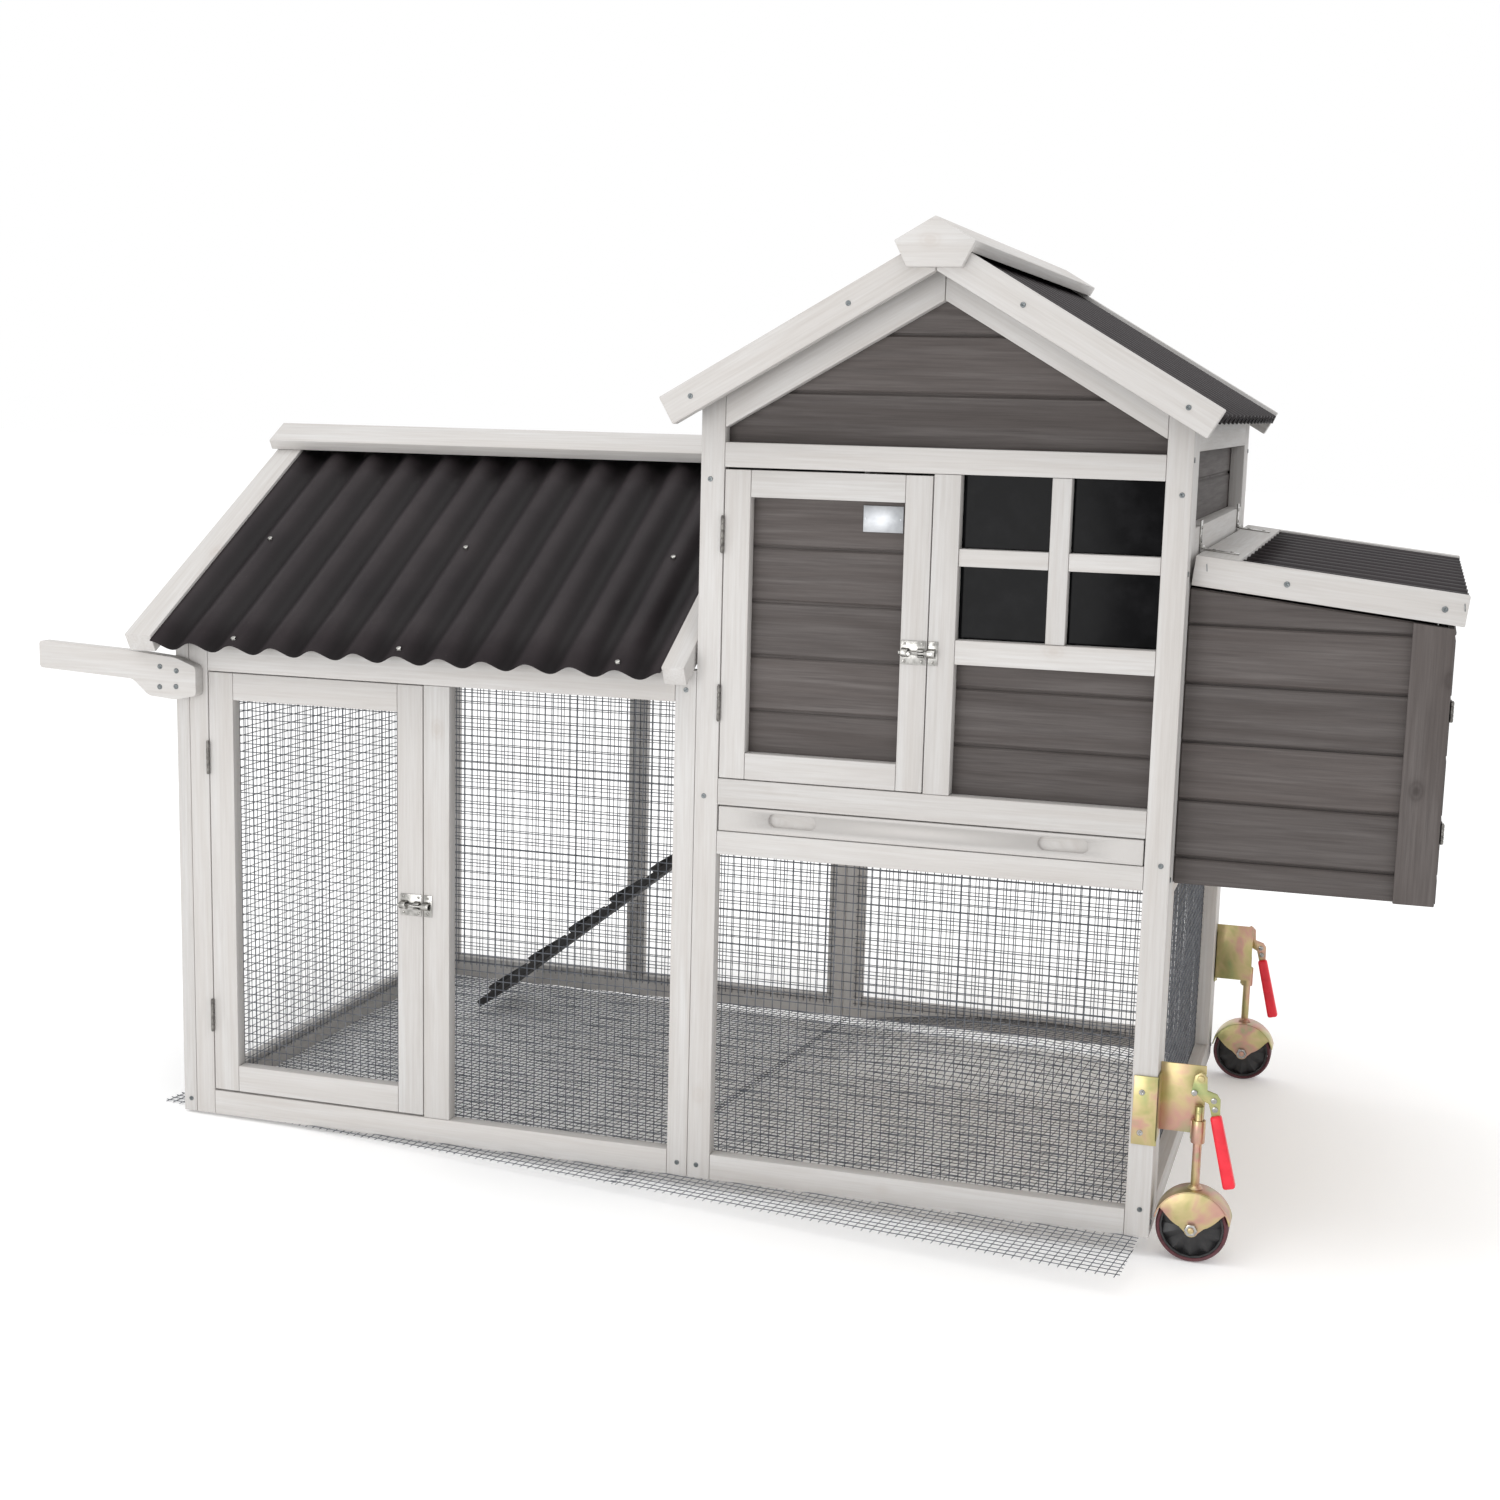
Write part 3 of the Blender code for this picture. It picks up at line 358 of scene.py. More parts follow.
class Work:
    """One visible piece in the making: closed shapes with a grain direction and a tone for each."""

    def __init__(self, name):
        self.name = name
        self.bm = bmesh.new()
        self.grain = self.bm.verts.layers.float_vector.new("grain")
        self.tone = self.bm.verts.layers.float.new("tone")
        self.random = random.Random(name)

    def take(self, shape, along=Vector((1, 0, 0)), bevel=0.0, segments=2):
        """Adds a closed bmesh, with its edges rounded, and frees it."""
        bmesh.ops.recalc_face_normals(shape, faces=shape.faces)
        if bevel:
            sharp = [e for e in shape.edges if e.calc_face_angle(0.0) > math.radians(20)]
            bmesh.ops.bevel(
                shape, geom=sharp, offset=bevel, offset_type="OFFSET", segments=segments,
                profile=0.5, affect="EDGES", clamp_overlap=True,
            )
        along = along.normalized()
        guide = Vector((0, 0, 1)) if abs(along.z) < 0.8 else Vector((1, 0, 0))
        across = along.cross(guide).normalized()
        normal = along.cross(across)
        offset = Vector([self.random.uniform(0, 40) for _ in range(3)])
        tone = self.random.random()
        copies = {}
        for vert in shape.verts:
            copy = self.bm.verts.new(vert.co)
            copy[self.grain] = offset + Vector((vert.co.dot(along), vert.co.dot(across), vert.co.dot(normal)))
            copy[self.tone] = tone
            copies[vert] = copy
        for face in shape.faces:
            self.bm.faces.new([copies[v] for v in face.verts]).smooth = True
        shape.free()

    def prism(self, outline, plane, start, end, along=None, bevel=0.0012, matrix=None, segments=2):
        """A flat outline with thickness; the grain runs along its longer side unless stated."""
        place = PLANES[plane]
        shape = bmesh.new()
        verts = [shape.verts.new(place(a, b, start)) for a, b in outline]
        face = shape.faces.new(verts)
        grown = bmesh.ops.extrude_face_region(shape, geom=[face])
        moved = [g for g in grown["geom"] if isinstance(g, bmesh.types.BMVert)]
        bmesh.ops.translate(shape, verts=moved, vec=place(0, 0, end) - place(0, 0, start))
        if along is None:
            wide = max(a for a, _ in outline) - min(a for a, _ in outline)
            tall = max(b for _, b in outline) - min(b for _, b in outline)
            along = place(1, 0, 0) if wide >= tall else place(0, 1, 0)
        if matrix is not None:
            shape.transform(matrix)
            along = matrix.to_3x3() @ along
        self.take(shape, along, bevel, segments)

    def bars(self, plane, start, end, *corners, bevel=0.0012, matrix=None):
        """Straight members, each from its (a0, b0, a1, b1)."""
        for a0, b0, a1, b1 in corners:
            self.prism(rectangle(a0, b0, a1, b1), plane, start, end, bevel=bevel, matrix=matrix)

    def box(self, low, high, bevel=0.0008, along=None):
        self.prism(rectangle(low[0], low[1], high[0], high[1]), "XY", low[2], high[2], along, bevel)

    def lathe(self, profile, centre, axis="Y", sides=32, bevel=0.0):
        """A turned solid from (radius, height) points, around the Y or Z axis through centre."""
        shape = bmesh.new()
        rings = []
        for radius, height in profile:
            points = [(0, 0, height)] if radius < 1e-6 else ring(radius, height, sides)
            rings.append([shape.verts.new(point) for point in points])
        bridge(shape, rings, sides)
        turn = Matrix.Rotation(math.pi / 2, 4, "X") if axis == "Y" else Matrix.Identity(4)
        shape.transform(Matrix.Translation(centre) @ turn)
        self.take(shape, bevel=bevel)

    def finish(self, material, body, nodes=()):
        return add_piece(self.name, self.bm, material, body, nodes, SHARP)


def rectangle(a0, b0, a1, b1):
    return [(a0, b0), (a1, b0), (a1, b1), (a0, b1)]


def rails(left, right, *spans):
    """Members between two stiles, one for each (bottom, top)."""
    return [(left + SEAM, bottom, right - SEAM, top) for bottom, top in spans]


def cut(outline, axis, limit, keep_above):
    """The part of a convex outline on one side of a line across axis 0 or 1."""
    kept = []
    for first, second in zip(outline, outline[1:] + outline[:1]):
        inside = (first[axis] >= limit) == keep_above
        crosses = (first[axis] - limit) * (second[axis] - limit) < 0
        if inside:
            kept.append(first)
        if crosses:
            t = (limit - first[axis]) / (second[axis] - first[axis])
            kept.append(tuple(p + t * (q - p) for p, q in zip(first, second)))
    return kept


def planks(work, outline, plane, start, end, top, pitch=BOARD_PITCH, axis=1):
    """Tongue-and-groove boards that fill an outline, laid from the top down, with V joints."""
    lowest = min(point[axis] for point in outline)
    upper = top
    while upper > lowest + 0.001:
        lower = upper - pitch
        band = cut(cut(outline, axis, upper - GROOVE / 2, False), axis, lower + GROOVE / 2, True)
        if len(band) > 2 and max(p[axis] for p in band) - min(p[axis] for p in band) > 0.004:
            work.prism(band, plane, start, end, bevel=0.0022, segments=1)
            tongue = cut(cut(outline, axis, lower + TONGUE / 2, False), axis, lower - TONGUE / 2, True)
            if len(tongue) > 2 and lower - TONGUE > lowest:
                deep = end - start
                work.prism(tongue, plane, start + 0.50 * deep, start + 0.70 * deep, bevel=0.0)
        upper = lower


def gable(left, right, bottom, eave, apex=None):
    """Outline with the house roof's slope, level below."""
    top = apex or eave + (HOUSE_MID - left) * SLOPE
    return [(left, bottom), (right, bottom), (right, eave), (HOUSE_MID, top), (left, eave)]


def drum(radius, low, high):
    """Profile of a solid cylinder."""
    return [(0.0, low), (radius, low), (radius, high), (0.0, high)]


def sleeve(inner, outer, low, high):
    """Profile of a tube."""
    return [(inner, low), (outer, low), (outer, high), (inner, high), (inner, low)]


def face_of(name, plane):
    """Outline of a node's box seen square on to a plane, and where its depth starts and ends."""
    low, high = node(name)
    first, second, depth = {"XZ": (0, 2, 1), "YZ": (1, 2, 0)}[plane]
    return rectangle(low[first], low[second], high[first], high[second]), low[depth], high[depth]


def boards_over(name, piece, plane, body, top, pitch=BOARD_PITCH):
    """Grey boards in the place of a rectangular node, laid down from top."""
    outline, start, end = face_of(name, plane)
    work = Work(piece)
    planks(work, outline, plane, start, end, top, pitch)
    work.finish(GREY, body, [name])


def plain_wood_over(name, piece, bevel=0.0008, lift=0.0):
    """Unpainted wood in the place of a node; lift raises its underside."""
    low, high = node(name)
    work = Work(piece)
    work.box(low + Vector((0, 0, lift)), high, bevel)
    work.finish(PLY, "coop", [name])


def assign(name, material):
    """A node that is shown as it is, with a better material."""
    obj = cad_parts[name]
    obj.data.materials.clear()
    obj.data.materials.append(material)


# Wire mesh

def crossings(outline, axis, value):
    """Where a line at value on an axis crosses an outline, as sorted pairs on the other axis."""
    found = []
    for first, second in zip(outline, outline[1:] + outline[:1]):
        if (first[axis] - value) * (second[axis] - value) < 0:
            t = (value - first[axis]) / (second[axis] - first[axis])
            found.append(first[1 - axis] + t * (second[1 - axis] - first[1 - axis]))
    found.sort()
    return list(zip(found[0::2], found[1::2]))


def add_wire(bm, points, side, up):
    """A thin wire through points, four-sided, closed at both ends."""
    corners = (side * WIRE_R, up * WIRE_R, -side * WIRE_R, -up * WIRE_R)
    rings = [[bm.verts.new(point + corner) for corner in corners] for point in points]
    bridge(bm, rings, 4)
    bm.faces.new(rings[0][::-1])
    bm.faces.new(rings[-1])


def wire_panel(name, outline, plane, level, body, replaced, steps=3, lift=None, slope=0.0):
    """Welded mesh: wires both ways at the cell pitch, the second set lying on the first.

    lift(a, b) bends the panel out of its plane. slope skews the cross wires, for a sheet laid askew.
    """
    place = PLANES[plane]
    rng = random.Random(name)
    bm = bmesh.new()
    normal = place(0, 0, 1)
    phase = rng.uniform(0.2, 0.8) * CELL
    for axis in (0, 1):
        side = place(0, 1, 0) if axis == 1 else place(1, 0, 0)
        layer = level + (WIRE_R * 1.6 if axis == 1 else 0.0)
        skewed = [(a - slope * b, b) if axis == 0 else (a, b + slope * a) for a, b in outline]
        low = min(point[axis] for point in skewed)
        high = max(point[axis] for point in skewed)
        value = low + phase
        while value < high:
            for start, end in crossings(skewed, axis, value):
                points = []
                for step in range(steps + 1):
                    other = start + (end - start) * step / steps
                    a, b = (value + slope * other, other) if axis == 0 else (other, value - slope * other)
                    wobble = rng.uniform(-0.0004, 0.0004)
                    height = layer + wobble + (lift(a, b) if lift else 0.0)
                    points.append(place(a, b, height))
                add_wire(bm, points, side, normal)
            value += CELL
    bmesh.ops.recalc_face_normals(bm, faces=bm.faces)
    add_piece(name, bm, GALVANISED, body, [replaced])


def mesh_over(name, plane, body="coop"):
    """Wires in the place of a rectangular mesh node, in the middle of its thickness."""
    outline, start, end = face_of(name, plane)
    wire_panel(f"{name}_wires", outline, plane, (start + end) / 2 - WIRE_R * 0.8, body, name)


# Corrugated sheets

def wave_sheet(name, down, wave_count, height, body="coop"):
    """A corrugated sheet in the place of a sloping node. down points down the slope."""
    low, high = node(name)
    centre = (low + high) / 2
    size = high - low
    level = Vector((down.x, down.y, 0)).normalized()
    normal = (Vector((0, 0, 1)) - down * down.z).normalized()
    across = down.cross(normal)
    slant = abs(down.z)
    length = (abs(size.dot(level)) - (height + SHEET_T) * slant) / math.sqrt(1 - slant * slant)
    width = abs(size.dot(across))
    steps_per_wave = 14
    bm = bmesh.new()
    bmesh.ops.create_grid(bm, x_segments=wave_count * steps_per_wave, y_segments=6, size=0.5)
    crest = bm.verts.layers.float.new("crest")
    for vert in bm.verts:
        phase = 2 * math.pi * wave_count * vert.co.x
        # crest is 0 in the valleys and 1 on the crests; the roof material uses it to paint shade into the
        # valleys and light onto the crests.
        vert[crest] = 0.5 + 0.5 * math.cos(phase)
        vert.co = Vector((vert.co.x * width, vert.co.y * length, height / 2 * math.cos(phase)))
    for face in bm.faces:
        face.smooth = True
    turn = Matrix((across, down, normal)).transposed().to_4x4()
    bm.transform(Matrix.Translation(centre) @ turn)
    add_piece(f"{name}_waves", bm, ROOFING, body, [name], thickness=SHEET_T)


# Run

def build_run_side(side, left, right, rail, head, stile):
    """A long side of the run: end stiles, rails, a middle stile and the mesh behind them."""
    low, high = node(f"run_{side}_frame")
    work = Work(f"run_{side}_timber")
    work.bars(
        "XZ", low.y, high.y,
        (low.x, 0.0, left, high.z),
        (right, 0.0, high.x, high.z),
        *rails(left, right, (0.0, rail), (head, high.z)),
        (stile[0], rail + SEAM, stile[1], head - SEAM),
    )
    work.finish(WHITE, "coop", [f"run_{side}_frame"])
    mesh_over(f"run_{side}_mesh", "XZ")


def build_run():
    """The run's long sides, left end and roof, measured from the door and the front mesh."""
    door_low, door_high = node("run_door_frame")
    mesh_low, mesh_high = node("run_front_mesh")
    rail, head = mesh_low.z + LAP, mesh_high.z - LAP
    left, right = door_low.x - PLAY, mesh_high.x - LAP
    build_run_side("front", left, right, rail, head, (door_high.x + PLAY, mesh_low.x + LAP))
    back_stile = 0.405
    build_run_side("back", left, right, rail, head, (back_stile, back_stile + 0.0335))
    build_run_end(rail, head)
    build_run_roof()


def build_run_end(rail, head):
    """The left end: stiles and rafters round a gable, two rails and the mesh."""
    low, high = node("run_left_frame")
    mesh_low, mesh_high = node("run_left_mesh")
    stile = mesh_low.y + LAP
    foot = RUN_GABLE_FOOT
    mid = DEPTH / 2
    eave = high.z - mid * SLOPE
    lean = eave + SLOPE * stile
    thick = (RUN_GABLE_SIDE - stile) * SLOPE + (lean - foot)
    end = Work("run_left_timber")
    end.bars(
        "YZ", low.x, high.x,
        *rails(stile, DEPTH - stile, (0.0, rail), (head, foot)),
    )
    for side in (0, 1):
        outer, inner = side * DEPTH, abs(side * DEPTH - stile)
        toe = abs(side * DEPTH - RUN_GABLE_SIDE)
        start = abs(side * DEPTH - stile - SEAM)
        end.prism([(outer, 0.0), (inner, 0.0), (inner, lean), (outer, eave)], "YZ", low.x, high.x)
        rafter = [
            (start, foot + SEAM), (toe, foot + SEAM), (mid, high.z - thick), (mid, high.z), (start, lean),
        ]
        end.prism(rafter, "YZ", low.x, high.x, along=Vector((0, 1 - 2 * side, SLOPE)))
    end.finish(WHITE, "coop", ["run_left_frame"])
    outline = [
        (mesh_low.y, mesh_low.z), (mesh_high.y, mesh_low.z), (mesh_high.y, foot),
        (mid, mesh_high.z), (mesh_low.y, foot),
    ]
    wire_panel("run_left_mesh_wires", outline, "YZ", mesh_low.x, "coop", "run_left_mesh")


def sloping_board(mid, side, half, apex, depth):
    """Outline of a board that falls from the ridge, with a square-cut lower end."""
    foot = mid + side * half
    foot_top = apex - half * SLOPE
    ridge = mid + side * SEAM
    return [
        (foot, foot_top), (foot - side * depth * math.sin(PITCH), foot_top - depth * math.cos(PITCH)),
        (ridge, apex - depth / math.cos(PITCH)), (ridge, apex),
    ]


def ridge_pair(piece, name, plane, mid, start, end, half, depth):
    """Two sloping boards that meet at the ridge. In a long ridge cap the grain follows the ridge."""
    apex = node(name)[1].z
    work = Work(piece)
    for side in (-1, 1):
        along = PLANES[plane](0, 0, 1) if end - start > depth * 4 else PLANES[plane](side, -SLOPE, 0)
        outline = sloping_board(mid, side, half, apex, depth)
        work.prism(outline, plane, start, end, along=along, bevel=0.0018)
    work.finish(WHITE, "coop", [name])


def build_run_roof():
    for end, side in (("front", -1), ("back", 1)):
        down = Vector((0, side * math.cos(PITCH), -math.sin(PITCH)))
        wave_sheet(f"run_roof_{end}", down, RUN_WAVES, 0.0143)
    for name, depth in (("run_bargeboard", 0.030), ("run_rafter", 0.030), ("run_ridge_cap", 0.018)):
        low, high = node(name)
        ridge_pair(f"{name}_timber", name, "YZ", DEPTH / 2, low.x, high.x, (high.y - low.y) / 2, depth)


# House

def add_house_posts(work, low, high):
    """The two corner posts, cut to the roof's slope; returns the height of their outer edges."""
    eave = high.z - (HOUSE_MID - low.x) * SLOPE
    for outer, inner in ((low.x, low.x + HOUSE_POST), (high.x, high.x - HOUSE_POST)):
        inner_top = eave + HOUSE_POST * SLOPE
        work.prism([(outer, 0.0), (inner, 0.0), (inner, inner_top), (outer, eave)], "XZ", low.y, high.y)
    return eave


def build_house_front():
    """Posts, rails, a centre post and muntins, with mesh, boards and a window behind them."""
    low, high = HOUSE_LOW, HOUSE_HIGH
    left, right = low.x + HOUSE_POST, high.x - HOUSE_POST
    mesh_low, mesh_high = node("house_front_mesh")
    panel_low, panel_high = node("house_front_panel")
    pane_low, pane_high = node("window_pane")
    tray_low, tray_high = node("tray_front")
    rail, lower_head = mesh_low.z + LAP, mesh_high.z - LAP
    sill, tray_head = tray_low.z - 0.001, tray_high.z + 0.002
    upper_sill, panel_head = panel_low.z + LAP, panel_high.z - LAP
    window_sill, window_head = pane_low.z + 0.010, pane_high.z - 0.010
    gable_sill = node("gable_front_boards")[0].z + LAP
    centre = (node("house_door_frame")[1].x + PLAY, pane_low.x + LAP)
    muntin_x, muntin_z = (1.319, 1.345), (0.905, 0.9285)
    muntin_back = 0.002

    work = Work("house_front_timber")
    eave = add_house_posts(work, low, high)
    work.bars(
        "XZ", low.y, high.y,
        *rails(left, right, (0.0, rail), (lower_head, sill)),
        *rails(left, right, (tray_head, upper_sill), (window_head, gable_sill)),
        (centre[0], upper_sill + SEAM, centre[1], window_head - SEAM),
        (centre[1] + SEAM, panel_head, right - SEAM, window_sill),
    )
    work.bars(
        "XZ", low.y + muntin_back, high.y,
        (muntin_x[0], window_sill + SEAM, muntin_x[1], window_head - SEAM),
        (centre[1] + SEAM, muntin_z[0], muntin_x[0] - SEAM, muntin_z[1]),
        (muntin_x[1] + SEAM, muntin_z[0], right - SEAM, muntin_z[1]),
    )
    add_gable_members(work, left, right, gable_sill, eave, low.y, high.y)
    work.finish(WHITE, "coop", ["house_front_frame"])

    mesh_over("house_front_mesh", "XZ")
    boards_over("house_front_panel", "house_front_panel_boards", "XZ", "coop", panel_high.z + 0.031)
    assign("window_pane", WINDOW)
    build_gable_boards("gable_front_boards", gable_sill - LAP)


def add_gable_members(work, left, right, sill, eave, start, end):
    """The two sloping members over the rail, which leave some board to be seen at each side."""
    for side, foot in ((-1, left + SEAM), (1, right - SEAM)):
        reach = abs(foot - HOUSE_MID)
        rise = reach * SLOPE
        top_foot = eave + (HOUSE_MID - HOUSE_LOW.x - reach) * SLOPE
        low_foot = sill + GABLE_GAP
        ridge = HOUSE_MID + side * SEAM
        outline = [(foot, low_foot), (ridge, low_foot + rise), (ridge, top_foot + rise), (foot, top_foot)]
        work.prism(outline, "XZ", start, end, along=Vector((side, 0, -SLOPE)))


def build_gable_boards(name, bottom):
    low, high = node(name)
    work = Work(f"{name}_planks")
    outline = gable(low.x, high.x, bottom, low.z + GABLE_GAP + LAP + 0.004, high.z)
    planks(work, outline, "XZ", low.y, high.y, bottom + 4 * BOARD_PITCH + 0.006)
    work.finish(GREY, "coop", [name])


def build_house_back():
    """The back: posts and rails, with mesh below and boards above."""
    low, high = node("house_back_frame")
    left, right = low.x + HOUSE_POST, high.x - HOUSE_POST
    mesh_low, mesh_high = node("house_back_mesh")
    rail, lower_head = mesh_low.z + LAP, mesh_high.z - LAP
    boards_low, boards_high = node("house_back_boards")
    sill = boards_low.z + LAP
    head, gable_sill = 1.027, 1.061
    work = Work("house_back_timber")
    eave = add_house_posts(work, low, high)
    work.bars(
        "XZ", low.y, high.y,
        *rails(left, right, (0.0, rail), (lower_head, sill), (head, gable_sill)),
    )
    add_gable_members(work, left, right, gable_sill, eave, low.y, high.y)
    work.finish(WHITE, "coop", ["house_back_frame"])
    mesh_over("house_back_mesh", "XZ")
    boards = Work("house_back_planks")
    outline = gable(boards_low.x, boards_high.x, boards_low.z, gable_sill + 0.024)
    planks(boards, outline, "XZ", boards_low.y, boards_high.y, boards_low.z + 10 * BOARD_PITCH)
    boards.finish(GREY, "coop", ["house_back_boards"])


def build_house_right():
    """The right side: mesh below, the nest box's opening, and a strip of boards over it."""
    low, high = node("house_right_frame")
    mesh_low, mesh_high = node("house_right_mesh")
    panel_low, panel_high = node("house_right_boards")
    front, back = mesh_low.y + LAP, mesh_high.y - LAP
    rail, lower_head = mesh_low.z + LAP, mesh_high.z - LAP
    nest_sill, nest_head = 0.522, 0.890
    panel_sill, panel_top = panel_low.z + LAP, panel_high.z - LAP
    work = Work("house_right_timber")
    work.bars(
        "YZ", low.x, high.x,
        (low.y, 0.0, front, high.z),
        (back, 0.0, high.y, high.z),
        *rails(front, back, (0.0, rail), (lower_head, nest_sill)),
        *rails(front, back, (nest_head, panel_sill), (panel_top, high.z)),
    )
    work.finish(WHITE, "coop", ["house_right_frame"])
    mesh_over("house_right_mesh", "YZ")
    boards_over("house_right_boards", "house_right_planks", "YZ", "coop", panel_high.z + 0.020)


def build_house_inside():
    """The left wall, its boards laid round the pop hole, the floor and the perch."""
    low, high = node("house_left_wall")
    hole_front, hole_back = 0.665, 0.845
    hole_low, hole_high = 0.545, 0.830
    wall = Work("house_left_planks")
    for start, bottom, end, top in (
        (low.y, low.z, high.y, hole_low),
        (low.y, hole_low, hole_front, hole_high),
        (hole_back, hole_low, high.y, hole_high),
        (low.y, hole_high, high.y, high.z),
    ):
        planks(wall, rectangle(start, bottom, end, top), "YZ", low.x, high.x, top + SEAM)
    wall.finish(GREY, "coop", ["house_left_wall"])
    plain_wood_over("house_floor", "house_floor_board")
    plain_wood_over("perch", "perch_bar", 0.008)


def build_house_roof():
    waves, wave_height = 15, 0.0128
    board_depth, cap_depth = 0.0415, 0.0165
    for side_name, side in (("left", -1), ("right", 1)):
        down = Vector((side * math.cos(PITCH), 0, -math.sin(PITCH)))
        wave_sheet(f"roof_sheet_{side_name}", down, waves, wave_height)
    for end in ("front", "back"):
        for side_name, side in (("left", -1), ("right", 1)):
            name = f"bargeboard_{end}_{side_name}"
            low, high = node(name)
            outline = sloping_board(HOUSE_MID, side, high.x - low.x, high.z, board_depth)
            work = Work(f"{name}_timber")
            work.prism(outline, "XZ", low.y, high.y, along=Vector((side, 0, -SLOPE)), bevel=0.0018)
            work.finish(WHITE, "coop", [name])
    low, high = node("house_ridge_cap")
    ridge_pair("house_ridge_cap_timber", "house_ridge_cap", "XZ", HOUSE_MID, low.y, high.y,
               (high.x - low.x) / 2, cap_depth)
    low, high = node("apex_plate")
    half = (high.x - low.x) / 2
    foot = 0.036
    shoulder = high.z - half * SLOPE
    outline = [
        (HOUSE_MID - half, shoulder), (HOUSE_MID - foot, low.z), (HOUSE_MID + foot, low.z),
        (HOUSE_MID + half, shoulder), (HOUSE_MID, high.z),
    ]
    plate = Work("apex_plate_timber")
    plate.prism(outline, "XZ", low.y, high.y, along=Vector((1, 0, 0)), bevel=0.0015)
    plate.finish(WHITE, "coop", ["apex_plate"])


# Nest box

def build_nest_box():
    """Front and back walls, floor, hinged end panel, corner board and lid."""
    front_low, front_high = node("nest_front_wall")
    fall = math.tan(NEST_DROP)
    outer_top = front_high.z - (front_high.x - front_low.x) * fall
    outline = [
        (front_low.x, front_low.z), (front_high.x, front_low.z),
        (front_high.x, outer_top), (front_low.x, front_high.z),
    ]
    for name in ("nest_front_wall", "nest_back_wall"):
        low, high = node(name)
        wall = Work(f"{name}_planks")
        planks(wall, outline, "XZ", low.y, high.y, low.z + 5 * BOARD_PITCH + 0.037)
        wall.finish(GREY, "coop", [name])
    plain_wood_over("nest_floor", "nest_floor_board", lift=0.0015)
    end_top = node("nest_end_door")[0].z + 5 * BOARD_PITCH + 0.037
    boards_over("nest_end_door", "nest_end_planks", "YZ", "nest_end", end_top)

    board_w, board_t = 0.052, 0.012
    x1 = front_high.x + 0.011
    x0 = x1 - board_w
    top0, top1 = (front_high.z - (x - front_low.x) * fall for x in (x0, x1))
    corner = Work("nest_corner_board")
    corner.prism([(x0, front_low.z), (x1, front_low.z), (x1, top1), (x0, top0)], "XZ",
                 front_low.y - board_t - SEAM, front_low.y - SEAM, along=Vector((0, 0, 1)), bevel=0.0015)
    corner.finish(GREY, "coop")
    build_nest_lid()


def build_nest_lid():
    """A sloping frame with a wide rail at the wall, and a corrugated sheet let into it."""
    low, high = node("nest_lid_frame")
    depth = 0.040
    start = low.x + depth * math.sin(NEST_DROP)
    length = (high.x - start) / math.cos(NEST_DROP)
    half = (high.y - low.y) / 2
    wall_rail, rail = 0.055, 0.022
    under_sheet = -0.0195
    tilt = Matrix.Translation((start, (low.y + high.y) / 2, high.z)) @ Matrix.Rotation(NEST_DROP, 4, "Y")
    lid = Work("nest_lid_timber")
    lid.bars(
        "XY", -depth, 0.0,
        (0.0, -half, length, rail - half),
        (0.0, half - rail, length, half),
        (0.0, rail - half + SEAM, wall_rail, half - rail - SEAM),
        matrix=tilt, bevel=0.0015,
    )
    lid.bars("XY", -depth, under_sheet, (length - rail, rail - half + SEAM, length, half - rail - SEAM),
             matrix=tilt, bevel=0.0015)
    lid.finish(WHITE, "nest_lid", ["nest_lid_frame"])
    down = Vector((math.cos(NEST_DROP), 0, -math.sin(NEST_DROP)))
    wave_sheet("nest_lid_sheet", down, 12, 0.0128, "nest_lid")


# Doors

def framed_door(name, rail):
    low, high = node(f"{name}_frame")
    work = Work(f"{name}_timber")
    work.bars(
        "XZ", low.y, high.y,
        (low.x, low.z, low.x + rail, high.z),
        (high.x - rail, low.z, high.x, high.z),
        *rails(low.x + rail, high.x - rail, (low.z, low.z + rail), (high.z - rail, high.z)),
    )
    work.finish(WHITE, name, [f"{name}_frame"])


def build_doors():
    framed_door("run_door", 0.041)
    mesh_over("run_door_mesh", "XZ", "run_door")
    framed_door("house_door", HOUSE_DOOR_RAIL)
    top = node("house_door_boards")[1].z - 0.0054
    boards_over("house_door_boards", "house_door_planks", "XZ", "house_door", top, 0.0763)


# Tray, ramp and handles

def stadium(mid_x, mid_z, width, height):
    """Outline of a slot with round ends."""
    steps = 12
    radius = height / 2
    reach = width / 2 - radius
    points = []
    for side in (1, -1):
        for step in range(steps + 1):
            angle = -math.pi / 2 + math.pi * step / steps
            across = side * (reach + radius * math.cos(angle))
            points.append((mid_x + across, mid_z + side * radius * math.sin(angle)))
    return points


def build_tray():
    assign("tray_pan", TRAY_STEEL)
    low, high = node("tray_front")
    work = Work("tray_front_board")
    work.prism(rectangle(low.x, low.z, high.x, high.z), "XZ", low.y, high.y, bevel=0.0015)
    board = work.finish(WHITE, "tray", ["tray_front"])
    mid_z = (low.z + high.z) / 2 + 0.002
    grip_w, grip_h, grip_depth = 0.070, 0.020, 0.008
    for index, offset in enumerate((-0.19, 0.19)):
        cutter = Work(f"grip_cutter_{index}")
        outline = stadium(HOUSE_MID + offset, mid_z, grip_w, grip_h)
        cutter.prism(outline, "XZ", low.y - 0.01, low.y + grip_depth, bevel=0)
        tool = cutter.finish(WHITE, "tray")
        cut_out = board.modifiers.new(f"grip_{index}", "BOOLEAN")
        cut_out.operation = "DIFFERENCE"
        cut_out.object = tool
        freeze(board)
        bpy.data.objects.remove(tool, do_unlink=True)


def freeze(piece):
    """Applies a piece's modifiers, so that its mesh is final."""
    graph = bpy.context.evaluated_depsgraph_get()
    final = bpy.data.meshes.new_from_object(piece.evaluated_get(graph))
    piece.modifiers.clear()
    piece.data = final


